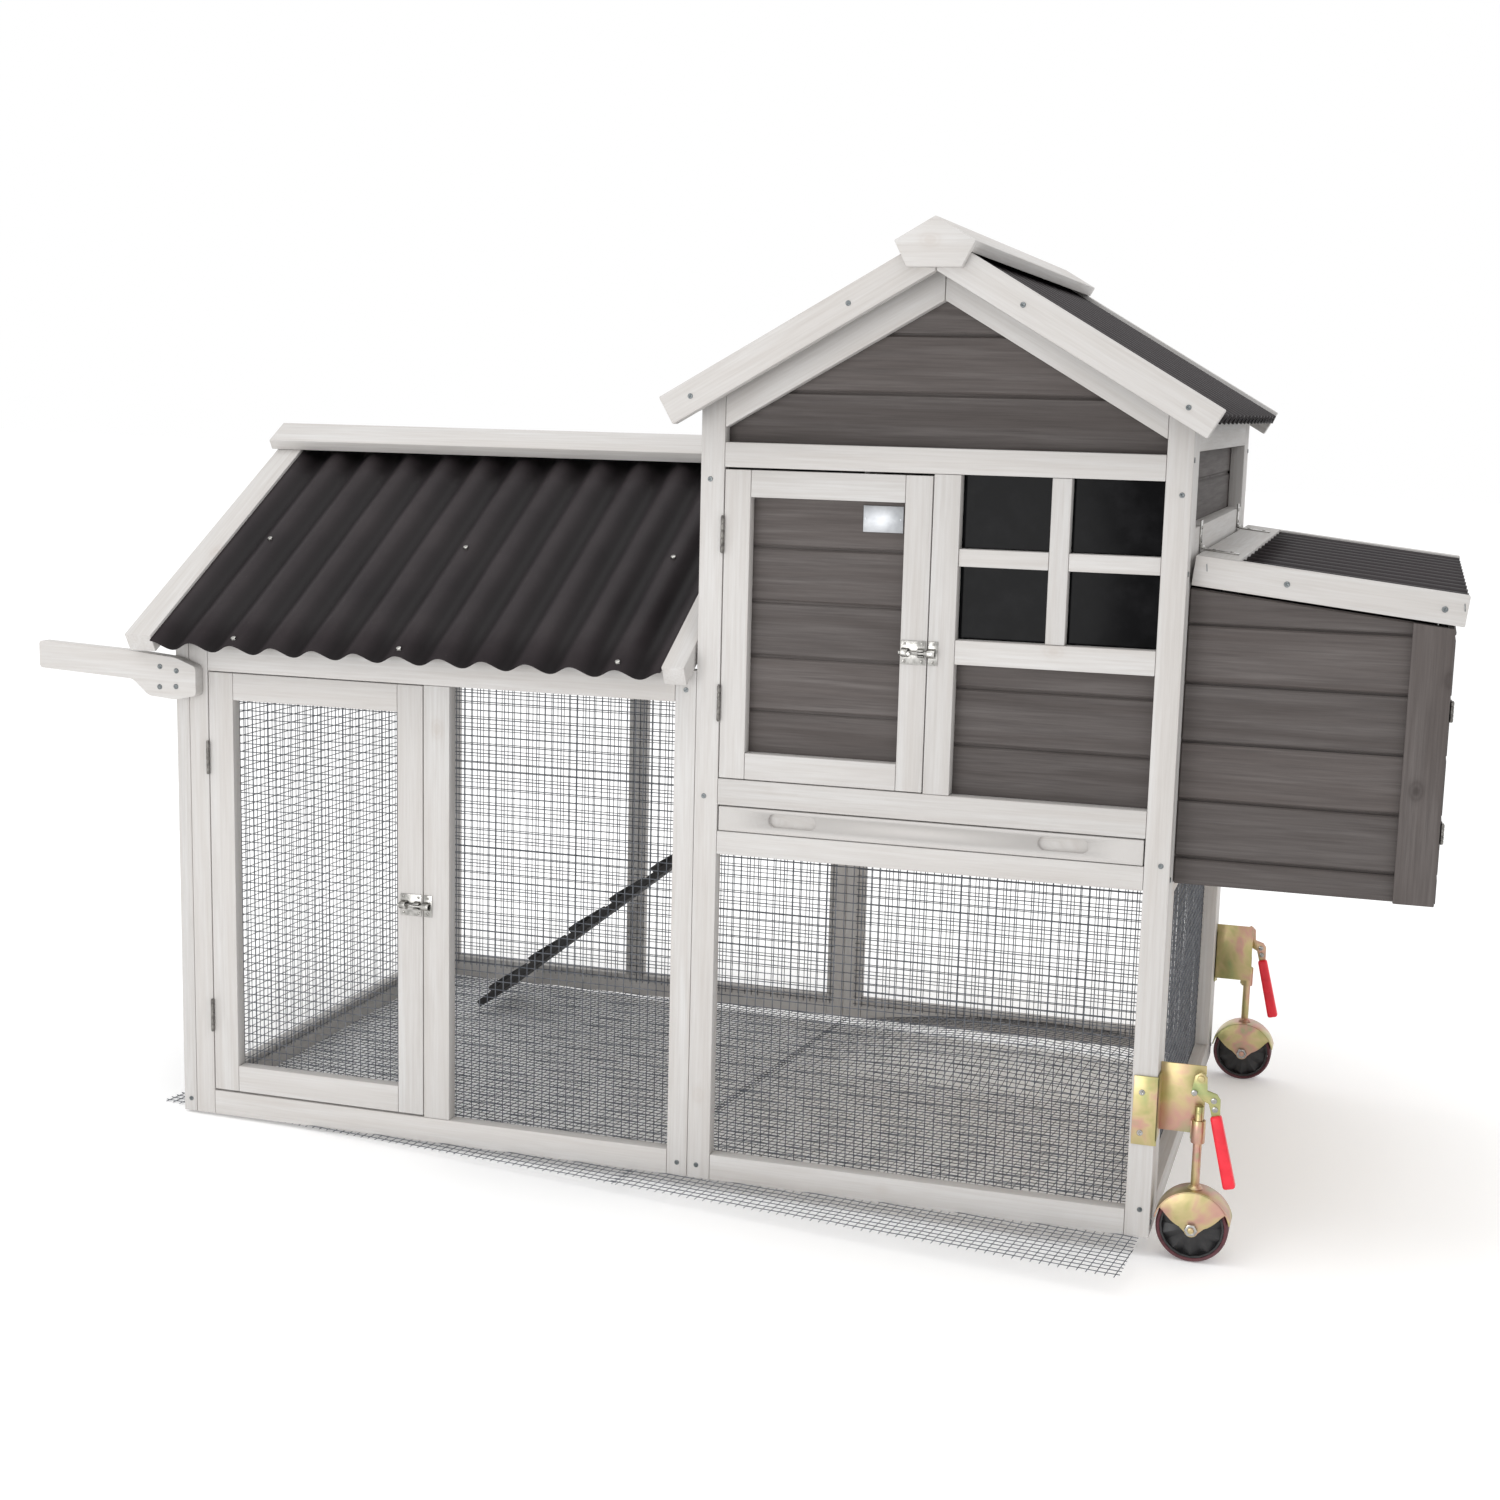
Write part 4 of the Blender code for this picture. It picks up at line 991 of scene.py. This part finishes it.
def build_ramp():
    low, high = node("ramp")
    plank_t, clear = 0.012, 0.012
    run, rise = 0.638, 0.513
    angle = math.atan2(rise, run)
    along = Vector((math.cos(angle), 0, math.sin(angle)))
    up = Vector((-math.sin(angle), 0, math.cos(angle)))
    foot = Vector((0.190, (low.y + high.y) / 2, 0.0)) + along * clear
    length = math.hypot(rise, run) - clear
    half = (high.y - low.y) / 2
    flat = Matrix.Translation(foot) @ Matrix((along, Vector((0, 1, 0)), up)).transposed().to_4x4()
    work = Work("ramp_timber")
    work.prism(rectangle(0, -half, length, half), "XY", 0.0, plank_t, matrix=flat, bevel=0.0012)
    cleats, first_cleat, cleat_pitch = 7, 0.045, 0.100
    cleat_half, cleat_top, sunk, short = 0.010, plank_t + 0.009, 0.0005, 0.002
    for index in range(cleats):
        spot = first_cleat + index * cleat_pitch
        outline = rectangle(spot - cleat_half, short - half, spot + cleat_half, half - short)
        work.prism(outline, "XY", plank_t - sunk, cleat_top, matrix=flat, bevel=0.0012)
    work.finish(CHARCOAL, "coop", ["ramp"])


def rounded(outline, radius):
    """The outline with its corners turned into arcs."""
    steps = 5
    points = []
    count = len(outline)
    for index in range(count):
        before, corner, after = (Vector(outline[(index + k) % count]) for k in (-1, 0, 1))
        to_before, to_after = (before - corner), (after - corner)
        reach = min(radius, to_before.length / 2.1, to_after.length / 2.1)
        start, end = corner + to_before.normalized() * reach, corner + to_after.normalized() * reach
        for step in range(steps + 1):
            t = step / steps
            points.append(tuple((1 - t) ** 2 * start + 2 * t * (1 - t) * corner + t * t * end))
    return points


def build_handles():
    """Two wheelbarrow handles: a straight bar that widens to a rounded plate on the corner."""
    for name in ("handle_front", "handle_back"):
        low, high = node(name)
        outline = [
            (low.x, high.z), (low.x, high.z - 0.0415), (-0.063, 0.680), (-0.035, 0.656), (0.0105, low.z),
            (high.x, 0.660), (high.x, 0.704), (0.012, 0.7165), (-0.0615, 0.7225),
        ]
        work = Work(f"{name}_timber")
        work.prism(rounded(outline, 0.006), "XZ", low.y, high.y, along=Vector((1, 0, 0)), bevel=0.0018)
        work.finish(WHITE, "coop", [name])


# Floor mesh

def floor_bulge(a, b):
    """The right floor sheet rises in a low hump towards the back."""
    mid_x, mid_y = 1.20, 0.78
    half_x, half_y = 0.33, 0.22
    height = 0.040
    across = max(0.0, 1 - ((a - mid_x) / half_x) ** 2)
    back = max(0.0, 1 - ((b - mid_y) / half_y) ** 2)
    return height * across * back


def build_floor_mesh():
    """Two sheets of mesh laid askew, which lap along a sloping seam and reach out in front."""
    slope = math.tan(math.radians(6.6))
    back = DEPTH - 0.010
    level = node("floor_mesh_left")[0].z + WIRE_R
    left = [(-0.053, 0.028), (0.745, -0.065), (0.850, back), (0.047, back)]
    wire_panel("floor_wires_left", left, "XY", level, "coop", "floor_mesh_left", 4, slope=slope)
    right = [(0.735, -0.064), (1.480, -0.150), (1.487, -0.005), (1.495, back), (0.838, back)]
    wire_panel("floor_wires_right", right, "XY", level, "coop", "floor_mesh_right", 28, floor_bulge, slope)


# Hardware

def add_screw(work, at, outward, radius=0.0036):
    """A countersunk cross-head screw, seen from outward."""
    shape = bmesh.new()
    sides = 20
    profile = ((radius, -0.0006), (radius, 0.0004), (radius * 0.86, 0.0009), (radius * 0.56, 0.0010))
    rings = [[shape.verts.new(point) for point in ring(size, height, sides)] for size, height in profile]
    deep, shallow = -0.0004, 0.0004
    recess = ring(radius * 0.18, shallow, sides)
    rings.append([shape.verts.new((x, y, z if i % 5 else deep)) for i, (x, y, z) in enumerate(recess)])
    bridge(shape, rings, sides)
    shape.faces.new(rings[0][::-1])
    shape.faces.new(rings[-1])
    turn = Vector(outward).to_track_quat("Z", "Y").to_matrix().to_4x4()
    shape.transform(Matrix.Translation(at) @ turn @ Matrix.Rotation(work.random.uniform(0, 1.5), 4, "Z"))
    work.take(shape)


def add_staple(work, at, along, outward):
    """A staple crown lying on a wire."""
    along, outward = Vector(along).normalized(), Vector(outward)
    side = along.cross(outward)
    shape = bmesh.new()
    bmesh.ops.create_cube(shape, size=1.0)
    shape.transform(Matrix.Diagonal((0.010, 0.0012, 0.0010, 1)))
    shape.transform(Matrix.Translation(at) @ Matrix((along, side, outward)).transposed().to_4x4())
    work.take(shape, bevel=0.0003)


def screws_on_frames():
    """Screws in the posts, bargeboards, handles and side frames, and in the nest box's lid."""
    post = HOUSE_LOW.x + 0.014
    timber = Work("frame_screws")
    spots = (
        (post, 1.010), (post, 0.566), (LENGTH - 0.012, 1.010), (LENGTH - 0.014, 0.040),
        (LENGTH - 0.012, 0.520), (post, 0.020), (0.0125, 0.708), (0.0125, 0.020),
        (RUN_HIGH.x - 0.015, 0.715), (RUN_HIGH.x - 0.015, 0.020),
    )
    for x, z in spots:
        add_screw(timber, (x, -PROUD, z), (0, -1, 0))
        add_screw(timber, (x, DEPTH + PROUD, z), (0, 1, 0))
    for end, outward in (("front", -1), ("back", 1)):
        for side_name, side in (("left", -1), ("right", 1)):
            low, high = node(f"bargeboard_{end}_{side_name}")
            y = low.y - PROUD if outward < 0 else high.y + PROUD
            for out in (0.115, 0.330):
                add_screw(timber, (HOUSE_MID + side * out, y, high.z - out * SLOPE - 0.024), (0, outward, 0))
    for name, outward in (("handle_front", -1), ("handle_back", 1)):
        low, high = node(name)
        y = low.y - PROUD if outward < 0 else high.y + PROUD
        for x, z in ((-0.0145, 0.7015), (0.0135, 0.6965), (-0.0155, 0.6705), (0.0125, 0.6725)):
            add_screw(timber, (x, y, z), (0, outward, 0), 0.0040)
    for y in (0.011, DEPTH - 0.011):
        for z in (0.020, 0.500, 0.908, 1.055):
            add_screw(timber, (LENGTH + PROUD, y, z), (1, 0, 0))
        for z in (0.020, 0.716):
            add_screw(timber, (node("run_left_frame")[0].x - PROUD, y, z), (-1, 0, 0))
    timber.finish(SCREW_STEEL, "coop")

    lid = Work("lid_screws")
    low, high = node("nest_lid_frame")
    for x, z in ((1.625, 0.899), (1.822, 0.8765)):
        add_screw(lid, (x, low.y - PROUD, z), (0, -1, 0), 0.0040)
        add_screw(lid, (x, high.y + PROUD, z), (0, 1, 0), 0.0040)
    lid.finish(SCREW_STEEL, "nest_lid")


def add_roof_screw(work, at, normal):
    """A hexagon-headed roof screw on a cupped washer."""
    turn = Vector(normal).to_track_quat("Z", "Y").to_matrix().to_4x4()
    for radius, low, high, sides in ((0.0085, -0.0006, 0.0012, 24), (0.0048, 0.0012, 0.0060, 6)):
        shape = bmesh.new()
        bmesh.ops.create_cone(
            shape, cap_ends=True, segments=sides, radius1=radius, radius2=radius * 0.82, depth=high - low
        )
        shape.transform(Matrix.Translation(at) @ turn @ Matrix.Translation((0, 0, (low + high) / 2)))
        work.take(shape, bevel=0.0004)


def roof_screws():
    """Roof screws in two rows on the crests of the run's waves."""
    low, high = node("run_roof_front")
    wave = (high.x - low.x) / RUN_WAVES
    work = Work("roof_screws")
    for side in (-1, 1):
        normal = Vector((0, side * math.sin(PITCH), math.cos(PITCH)))
        for row, crests in ((0.014, (2, 6, 11)), (0.244, (1, 6, 11))):
            for crest in crests:
                x = low.x + wave * crest
                y = low.y + row if side < 0 else DEPTH - low.y - row
                z = high.z - math.cos(PITCH) * 0.0012 - (abs(y - DEPTH / 2) - 0.006) * SLOPE
                add_roof_screw(work, Vector((x, y, z)), normal)
    work.finish(NICKEL, "coop")


def add_knuckles(work, x, y, z, height):
    """The knuckles of a butt hinge in the gap beside a door, with its pin."""
    count, radius, gap = 5, 0.0026, 0.0006
    foot = z - height / 2
    for index in range(count):
        start = foot + index * height / count
        work.lathe(drum(radius, 0.0, height / count - gap), Vector((x, y, start)), "Z", 16, 0.0003)
    work.lathe(drum(0.0018, -0.001, height + 0.001), Vector((x, y, foot)), "Z", 12)


def door_hinges():
    """Knuckles beside the three doors, and the leaves that show on the nest box's end."""
    work = Work("door_hinges")
    pin_y, tall = -0.003, 0.050
    for z in (0.160, 0.565):
        add_knuckles(work, node("run_door_frame")[0].x - 0.001, pin_y, z, tall)
    for z in (0.700, 0.935):
        add_knuckles(work, node("house_door_frame")[0].x - PLAY, pin_y, z, tall)
    end_low, end_high = node("nest_end_door")
    leaves = Work("nest_end_hinge_leaves")
    short = 0.026
    for z in (0.585, 0.745):
        add_knuckles(work, end_high.x + 0.0016, end_low.y + pin_y, z, short)
        leaves.box((end_high.x + 0.0002, end_low.y + 0.0008, z - short / 2),
                   (end_high.x + 0.0014, end_low.y + 0.018, z + short / 2), 0.0002)
    work.finish(HINGE_STEEL, "coop")
    leaves.finish(HINGE_STEEL, "nest_end")


def lid_hinges():
    """Two steel hinges with strap leaves, one up the wall and one along the lid."""
    lid_z = node("nest_lid_frame")[1].z
    wall = Work("lid_hinge_wall_leaves")
    strap = Work("lid_hinge_lid_leaves")
    half, leaf_t, pitch = 0.011, 0.0018, 0.0075
    pin = drum(0.0030, 0.0, 0.0068)
    for y in (0.150, DEPTH - 0.150):
        wall.box((LENGTH + 0.0002, y - half, lid_z + 0.002),
                 (LENGTH + 0.0002 + leaf_t, y + half, lid_z + 0.040), 0.0003)
        for index in range(3):
            end = y - half + index * pitch + 0.0068
            wall.lathe(pin, Vector((LENGTH + 0.0036, end, lid_z + 0.0036)), "Y", 14, 0.0003)
        for rise in (0.012, 0.030):
            add_screw(wall, (LENGTH + 0.0022, y, lid_z + rise), (1, 0, 0), 0.0026)
        tilt = Matrix.Translation((LENGTH + 0.006, y, lid_z + 0.0002)) @ Matrix.Rotation(NEST_DROP, 4, "Y")
        strap.prism(rectangle(0.0, -half, 0.048, half), "XY", 0.0, leaf_t, matrix=tilt, bevel=0.0003)
        for out in (0.014, 0.038):
            up = (math.sin(NEST_DROP), 0, math.cos(NEST_DROP))
            add_screw(strap, tilt @ Vector((out, 0, 0.0020)), up, 0.0026)
    wall.finish(NICKEL, "coop")
    strap.finish(NICKEL, "nest_lid")


def strap_places(bolt_low, bolt_high):
    """Middle height, inner and outer reach, and front of a strap bent round a bolt."""
    radius = (bolt_high.z - bolt_low.z) / 2
    inner = radius + BOLT_PLAY
    return (bolt_low.z + bolt_high.z) / 2, inner, inner + STRAP_T, bolt_high.y - 2 * radius - BOLT_PLAY


def add_loop(work, start, length, bolt_low, bolt_high):
    """A strap bent round the bolt, with two feet on the plate."""
    mid, inner, reach, front = strap_places(bolt_low, bolt_high)
    base, flat = -0.0013, inner * 0.6
    outline = [
        (base, mid - reach - 0.002), (base - STRAP_T, mid - reach - 0.002), (front + 0.001, mid - reach),
        (front - STRAP_T, mid - flat), (front - STRAP_T, mid + flat), (front + 0.001, mid + reach),
        (base - STRAP_T, mid + reach + 0.002), (base, mid + reach + 0.002), (base, mid + inner),
        (front + 0.001, mid + inner), (front, mid + flat), (front, mid - flat),
        (front + 0.001, mid - inner), (base, mid - inner),
    ]
    work.prism(outline, "YZ", start, start + length, bevel=0.0002)


def add_slotted_guide(work, start, length, bolt_low, bolt_high):
    """Two hooks over the bolt, with a slot between them that lets its knob through."""
    mid, inner, reach, front = strap_places(bolt_low, bolt_high)
    base, slot = -0.0013, 0.0028
    for side in (-1, 1):
        outline = [
            (base, mid + side * (reach + 0.002)), (base - STRAP_T, mid + side * (reach + 0.002)),
            (front + 0.001, mid + side * reach), (front - 0.0005, mid + side * slot),
            (front + 0.0004, mid + side * slot), (front + 0.001, mid + side * inner),
            (base, mid + side * inner),
        ]
        work.prism(outline, "YZ", start, start + length, bevel=0.0001)


def build_latch(door):
    """A small barrel bolt: a plate with two guides on the door and a keeper on the next stile."""
    edge = node(f"{door}_frame")[1].x
    bolt_low, bolt_high = node(f"{door}_bolt")
    bolt_z = (bolt_low.z + bolt_high.z) / 2
    half, face, screw_r, screw_z = 0.0165, -0.0014, 0.0022, 0.0122
    plate = Work(f"{door}_latch_plate")
    plate.box((edge - 0.036, face, bolt_z - half), (edge - 0.0015, -PROUD, bolt_z + half), 0.0004)
    add_loop(plate, edge - 0.034, 0.009, bolt_low, bolt_high)
    add_slotted_guide(plate, edge - 0.0115, 0.009, bolt_low, bolt_high)
    for x in (edge - 0.031, edge - 0.006):
        for side in (-1, 1):
            add_screw(plate, (x, -0.0016, bolt_z + side * screw_z), (0, -1, 0), screw_r)
    plate.finish(NICKEL, door)
    keeper = Work(f"{door}_keeper")
    start = edge + 0.0022
    keeper.box((start, face, bolt_z - half), (start + 0.0135, -PROUD, bolt_z + half), 0.0004)
    add_loop(keeper, start, 0.0105, bolt_low, bolt_high)
    for side in (-1, 1):
        add_screw(keeper, (start + 0.0068, -0.0016, bolt_z + side * screw_z), (0, -1, 0), screw_r)
    keeper.finish(NICKEL, "coop")
    assign(f"{door}_bolt", NICKEL)


def build_badge():
    """A blank metal plate on the house door's top board, held by two pins."""
    door_high = node("house_door_frame")[1]
    margin = HOUSE_DOOR_RAIL + 0.006
    right, top = door_high.x - margin, door_high.z - margin
    face = node("house_door_boards")[0].y
    badge = Work("blank_badge")
    badge.box((right - 0.056, face - 0.0016, top - 0.036), (right, face - 0.0002, top), 0.0005)
    for x in (right - 0.0525, right - 0.0035):
        badge.lathe(drum(0.0012, 0.0, 0.0009), Vector((x, face - 0.0014, top - 0.018)), "Y", 12)
    badge.finish(BADGE, "house_door")


def build_staples():
    """Staples that hold the mesh to the backs of the frames, and the lid's corner staples."""
    work = Work("mesh_staples")
    low, high = node("run_front_mesh")
    count, margin = 9, 0.03
    for index in range(count):
        z = low.z + margin + index * (high.z - low.z - 2 * margin) / (count - 1)
        for x in (low.x + 0.007, high.x - 0.007):
            add_staple(work, (x, high.y + 0.0004, z), (0, 0, 1), (0, 1, 0))
    work.finish(NICKEL, "coop")
    lid = Work("lid_staples")
    lid_low, lid_high = node("nest_lid_frame")
    add_staple(lid, (lid_low.x + 0.019, lid_low.y - 0.0002, lid_high.z - 0.016), (-0.1, 0, 1), (0, -1, 0))
    add_staple(lid, (lid_high.x - 0.006, lid_low.y - 0.0002, lid_high.z - 0.052), (-0.1, 0, 1), (0, -1, 0))
    lid.finish(SCREW_STEEL, "nest_lid")


# Wheel units

def mirrored(piece_y, back):
    """A distance behind the front face, taken from the back face instead for the back unit."""
    return DEPTH - piece_y if back else piece_y


def arc(centre, radius, start, stop, steps):
    """Points in X and Z along an arc, with its angles in degrees."""
    angles = [math.radians(start + (stop - start) * i / steps) for i in range(steps + 1)]
    return [(centre.x + radius * math.cos(a), centre.z + radius * math.sin(a)) for a in angles]


def build_wheel_units():
    for end, back in (("front", False), ("back", True)):
        build_bracket(end, back)
        build_hood(end)
        build_wheel(end)
        build_lever(end, back)


def wheel_size(end):
    """Centre, radius and width of a wheel."""
    low, high = node(f"wheel_{end}")
    return (low + high) / 2, (high.z - low.z) / 2, high.y - low.y


def y_box(work, x, y, z, back, bevel=0.0008):
    y0, y1 = sorted((mirrored(y[0], back), mirrored(y[1], back)))
    work.box((x[0], y0, z[0]), (x[1], y1, z[1]), bevel)


def build_bracket(end, back):
    """A bent plate round the corner post, a sleeve for the plunger rod and a pin over it."""
    low = node(f"wheel_bracket_{end}")[0]
    centre = wheel_size(end)[0]
    outward = 1 if back else -1
    t, step_back = 0.0025, 0.034
    bend = LENGTH + 0.0005
    work = Work(f"bracket_{end}_plate")
    y_box(work, (low.x, bend + t), (-0.003, -0.0005), (0.133, 0.230), back)
    y_box(work, (bend, bend + t), (-0.003, step_back), (0.140, 0.230), back)
    y_box(work, (bend, 1.562), (step_back - t, step_back), (0.147, 0.243), back)
    work.lathe(sleeve(0.0066, 0.0095, -0.016, 0.016), Vector((centre.x, centre.y, 0.153)), "Z", 28, 0.0006)
    y_box(work, (1.545, 1.556), (0.026, 0.0312), (0.140, 0.166), back, 0.0010)
    pin_x, pin_y, pin_z = 1.557, mirrored(0.0085, back), 0.231
    pin_r, reach = 0.0030, 0.0250
    start = pin_y if back else pin_y + reach
    work.lathe(drum(pin_r, 0.0, reach), Vector((pin_x, start, pin_z)), "Y", 18, 0.0005)
    head = [(0.0, 0.0), (pin_r * 1.7, 0.0), (pin_r * 1.5, 0.0022), (0.0, 0.0030)]
    if back:
        head = [(r, -h) for r, h in head][::-1]
    work.lathe(head, Vector((pin_x, mirrored(0.0092, back), pin_z)), "Y", 18)
    work.finish(ZINC, "coop", [f"wheel_bracket_{end}"])
    screws = Work(f"bracket_{end}_screws")
    for z in (0.207, 0.150):
        add_screw(screws, (1.4805, mirrored(-0.0034, back), z), (0, outward, 0), 0.0042)
    screws.finish(NICKEL, "coop")


def build_hood(end):
    """A sheet hood: an arched band with a pointed cheek on each side that carries the axle."""
    centre, radius, width = wheel_size(end)
    skin = 0.002
    outer = radius + 0.0035
    half = width / 2 + 0.004
    work = Work(f"hood_{end}_shell")
    band = arc(centre, outer, 12, 168, 30) + arc(centre, outer - skin, 12, 168, 30)[::-1]
    work.prism(band, "XZ", centre.y - half, centre.y + half, bevel=0.0006)
    tip = arc(centre - Vector((0, 0, 0.002)), 0.0095, 200, 340, 10)
    left_flank, right_flank = [], []
    for step in range(1, 7):
        t = step / 7
        x = 0.84 * outer + t * (0.012 - 0.84 * outer)
        z = outer * 0.50 * (1 - t) ** 1.7 + 0.001
        left_flank.append((centre.x - x, centre.z + z))
        right_flank.append((centre.x + x, centre.z + z))
    outline = arc(centre, outer - 0.0004, 30, 150, 30) + left_flank + tip + right_flank[::-1]
    for side in (-1, 1):
        y0, y1 = sorted((centre.y + side * half, centre.y + side * (half - skin)))
        work.prism(outline, "XZ", y0, y1, bevel=0.0005)
    rod_r, rod_foot, rod_head = 0.0060, centre.z + outer - skin, 0.1885
    work.lathe(drum(rod_r, 0.0, rod_head - rod_foot), Vector((centre.x, centre.y, rod_foot)), "Z", 24, 0.0008)
    bead = [(rod_r, 0.0), (0.0105, 0.0), (0.0085, 0.0030), (rod_r, 0.0045), (rod_r, 0.0)]
    work.lathe(bead, Vector((centre.x, centre.y, rod_foot + skin)), "Z", 24)
    eye_at = Vector((centre.x, centre.y + 0.0068, rod_head - 0.008))
    work.lathe(drum(0.0024, 0.0, 0.0136), eye_at, "Y", 14, 0.0004)
    reach = half + 0.008
    work.lathe(drum(0.0042, -reach, reach), centre, "Y", 20, 0.0008)
    nuts = Work(f"axle_{end}_nuts")
    for side in (-1, 1):
        nuts.lathe(sleeve(0.0044, 0.0092, side * half, side * (half + 0.0062)), centre, "Y", 6, 0.0008)
    work.finish(ZINC, f"plunger_{end}", [f"wheel_hood_{end}"])
    nuts.finish(NICKEL, f"plunger_{end}")


def build_wheel(end):
    """A dark red tread round a black hub whose web is pleated into ribs."""
    centre, radius, width = wheel_size(end)
    half = width / 2
    rim_r, shoulder_r = radius * 0.885, radius * 0.96
    tread = Work(f"tread_{end}")
    profile = [
        (rim_r, -half + 0.0015), (shoulder_r, -half), (radius, -half + 0.004), (radius, half - 0.004),
        (shoulder_r, half), (rim_r, half - 0.0015), (rim_r, -half + 0.0015),
    ]
    tread.lathe(profile, centre, "Y", 64, 0.0008)
    tread.finish(TREAD, f"caster_{end}", [f"wheel_{end}"])

    sides, boss_r, bore_r = 20, 0.012, 0.0050
    steps = (
        (bore_r, 0.0140, 0.0140), (boss_r, 0.0135, 0.0135), (rim_r * 0.93, 0.0050, 0.0125),
        (rim_r * 0.94, 0.0145, 0.0145), (rim_r, 0.0145, 0.0145),
    )
    hub = Work(f"hub_{end}")
    shape = bmesh.new()
    loops = []
    for face in (-1, 1):
        for ring_r, valley, rib in steps:
            loop = []
            for index, point in enumerate(ring(ring_r, 0.0, sides)):
                depth = face * (rib if index % 2 else valley)
                loop.append(shape.verts.new((point[0], depth, point[1])))
            loops.append(loop)
    around = loops[:5] + loops[5:][::-1] + loops[:1]
    bridge(shape, around, sides)
    shape.transform(Matrix.Translation(centre))
    hub.take(shape)
    hub.finish(HUB, f"caster_{end}")


def build_lever(end, back):
    """The locking lever: a stamped arm with rivets and a red vinyl grip."""
    arm_front, arm_t, second_arm = 0.0096, 0.0016, 0.0034
    arm = Work(f"lever_{end}_arm")
    outline = [
        (1.5490, 0.2345), (1.5475, 0.2270), (1.5440, 0.2100), (1.5475, 0.2050), (1.5530, 0.2085),
        (1.5610, 0.2010), (1.5690, 0.1970), (1.5735, 0.1800), (1.5845, 0.1800), (1.5840, 0.2040),
        (1.5790, 0.2110), (1.5660, 0.2150), (1.5650, 0.2330), (1.5570, 0.2400),
    ]
    for start in (arm_front, arm_front + second_arm):
        y0, y1 = sorted((mirrored(start, back), mirrored(start + arm_t, back)))
        arm.prism(outline, "XZ", y0, y1, bevel=0.0004)
    arm.finish(ZINC, f"lever_{end}", [f"wheel_lever_{end}"])

    rivets = Work(f"lever_{end}_rivets")
    y0, y1 = sorted((mirrored(0.0078, back), mirrored(0.0164, back)))
    for x, z in ((1.5755, 0.2025), (1.5775, 0.1905), (1.5490, 0.2110)):
        rivets.lathe(drum(0.0042, 0.0, y1 - y0), Vector((x, y1, z)), "Y", 18, 0.0010)
    rivets.finish(NICKEL, f"lever_{end}")

    grip = Work(f"lever_{end}_grip")
    top, foot = Vector((1.5787, 0, 0.1815)), Vector((1.6030, 0, 0.0815))
    lean = math.atan2(foot.x - top.x, top.z - foot.z)
    size = Vector((0.0172, 0.0150, (foot - top).length))
    shape = bmesh.new()
    bmesh.ops.create_cube(shape, size=1.0)
    for vert in shape.verts:
        narrow = 0.90 if vert.co.z > 0 else 1.0
        vert.co = Vector((vert.co.x * size.x * narrow, vert.co.y * size.y * narrow, vert.co.z * size.z))
    mid = (top + foot) / 2
    mid.y = mirrored(0.012, back)
    shape.transform(Matrix.Translation(mid) @ Matrix.Rotation(-lean, 4, "Y"))
    grip.take(shape, Vector((0, 0, 1)), bevel=0.0042, segments=4)
    grip.finish(RED_GRIP, f"lever_{end}")


# Stage

def build_stage():
    """A pale floor that touches the run's left edge and the wheels, and an even white studio."""
    left_x, left_z = node("run_bargeboard")[0].x, -0.0022
    centre, radius = wheel_size("front")[:2]
    tilt = math.atan2(left_z - (centre.z - radius), centre.x - left_x)
    bpy.ops.mesh.primitive_plane_add(size=60, location=ORIGIN + Vector((left_x, 0, left_z)))
    floor = bpy.context.object
    floor.name = "studio_floor"
    floor.rotation_euler = (0, tilt, 0)
    floor.data.materials.append(floor_material())

    world = bpy.data.worlds.new("studio")
    world.use_nodes = True
    world.node_tree.nodes["Background"].inputs["Color"].default_value = (1.0, 1.0, 1.0, 1)
    world.node_tree.nodes["Background"].inputs["Strength"].default_value = 1.0
    bpy.context.scene.world = world
    add_light("key", (-1.2, -4.8, 0.5), (0.0, 0.0, 0.0), 2.4, 70)
    add_light("top", (-0.5, -0.5, 5.0), (0.0, 0.3, 0.0), 4.0, 70)


def floor_material():
    s = Shader("studio_floor_white", roughness=0.95)
    s.principled.inputs["Specular IOR Level"].default_value = 0.1
    haze = s.noise(s.coords(), 0.8, 2.0)
    s.colour(s.mix(haze, (0.90, 0.90, 0.90), (0.93, 0.93, 0.93)))
    s.principled.inputs["Emission Color"].default_value = (1.0, 1.0, 1.0, 1)
    s.principled.inputs["Emission Strength"].default_value = 0.17
    return s.material


def add_light(name, place, target, size, power):
    data = bpy.data.lights.new(name, "AREA")
    data.energy = power
    data.shape = "DISK"
    data.size = size
    lamp = bpy.data.objects.new(name, data)
    bpy.context.scene.collection.objects.link(lamp)
    lamp.location = place
    lamp.rotation_euler = (Vector(target) - Vector(place)).to_track_quat("-Z", "Y").to_euler()


def build_camera():
    """A mild telephoto view from the front right, a little above the nest box lid."""
    data = bpy.data.cameras.new("camera")
    data.sensor_width = 36.0
    data.lens = 51.63
    data.shift_x = 0.0048
    data.shift_y = 0.0128
    data.clip_end = 100
    camera = bpy.data.objects.new("camera", data)
    bpy.context.scene.collection.objects.link(camera)
    forward = Vector((-0.2901, 0.9423, -0.1672)).normalized()
    roll = math.radians(1.38)
    turn = forward.to_track_quat("-Z", "Y").to_matrix().to_4x4() @ Matrix.Rotation(roll, 4, "Z")
    camera.matrix_world = Matrix.Translation(ORIGIN + Vector((1.7781, -2.8415, 1.1124))) @ turn
    bpy.context.scene.camera = camera


build_camera()
build_run()
build_house_front()
build_house_back()
build_house_right()
build_house_inside()
build_house_roof()
build_nest_box()
build_doors()
build_tray()
build_ramp()
build_handles()
build_floor_mesh()
screws_on_frames()
roof_screws()
door_hinges()
lid_hinges()
build_latch("run_door")
build_latch("house_door")
build_badge()
build_staples()
build_wheel_units()
build_stage()

bpy.context.scene.view_settings.view_transform = "Standard"
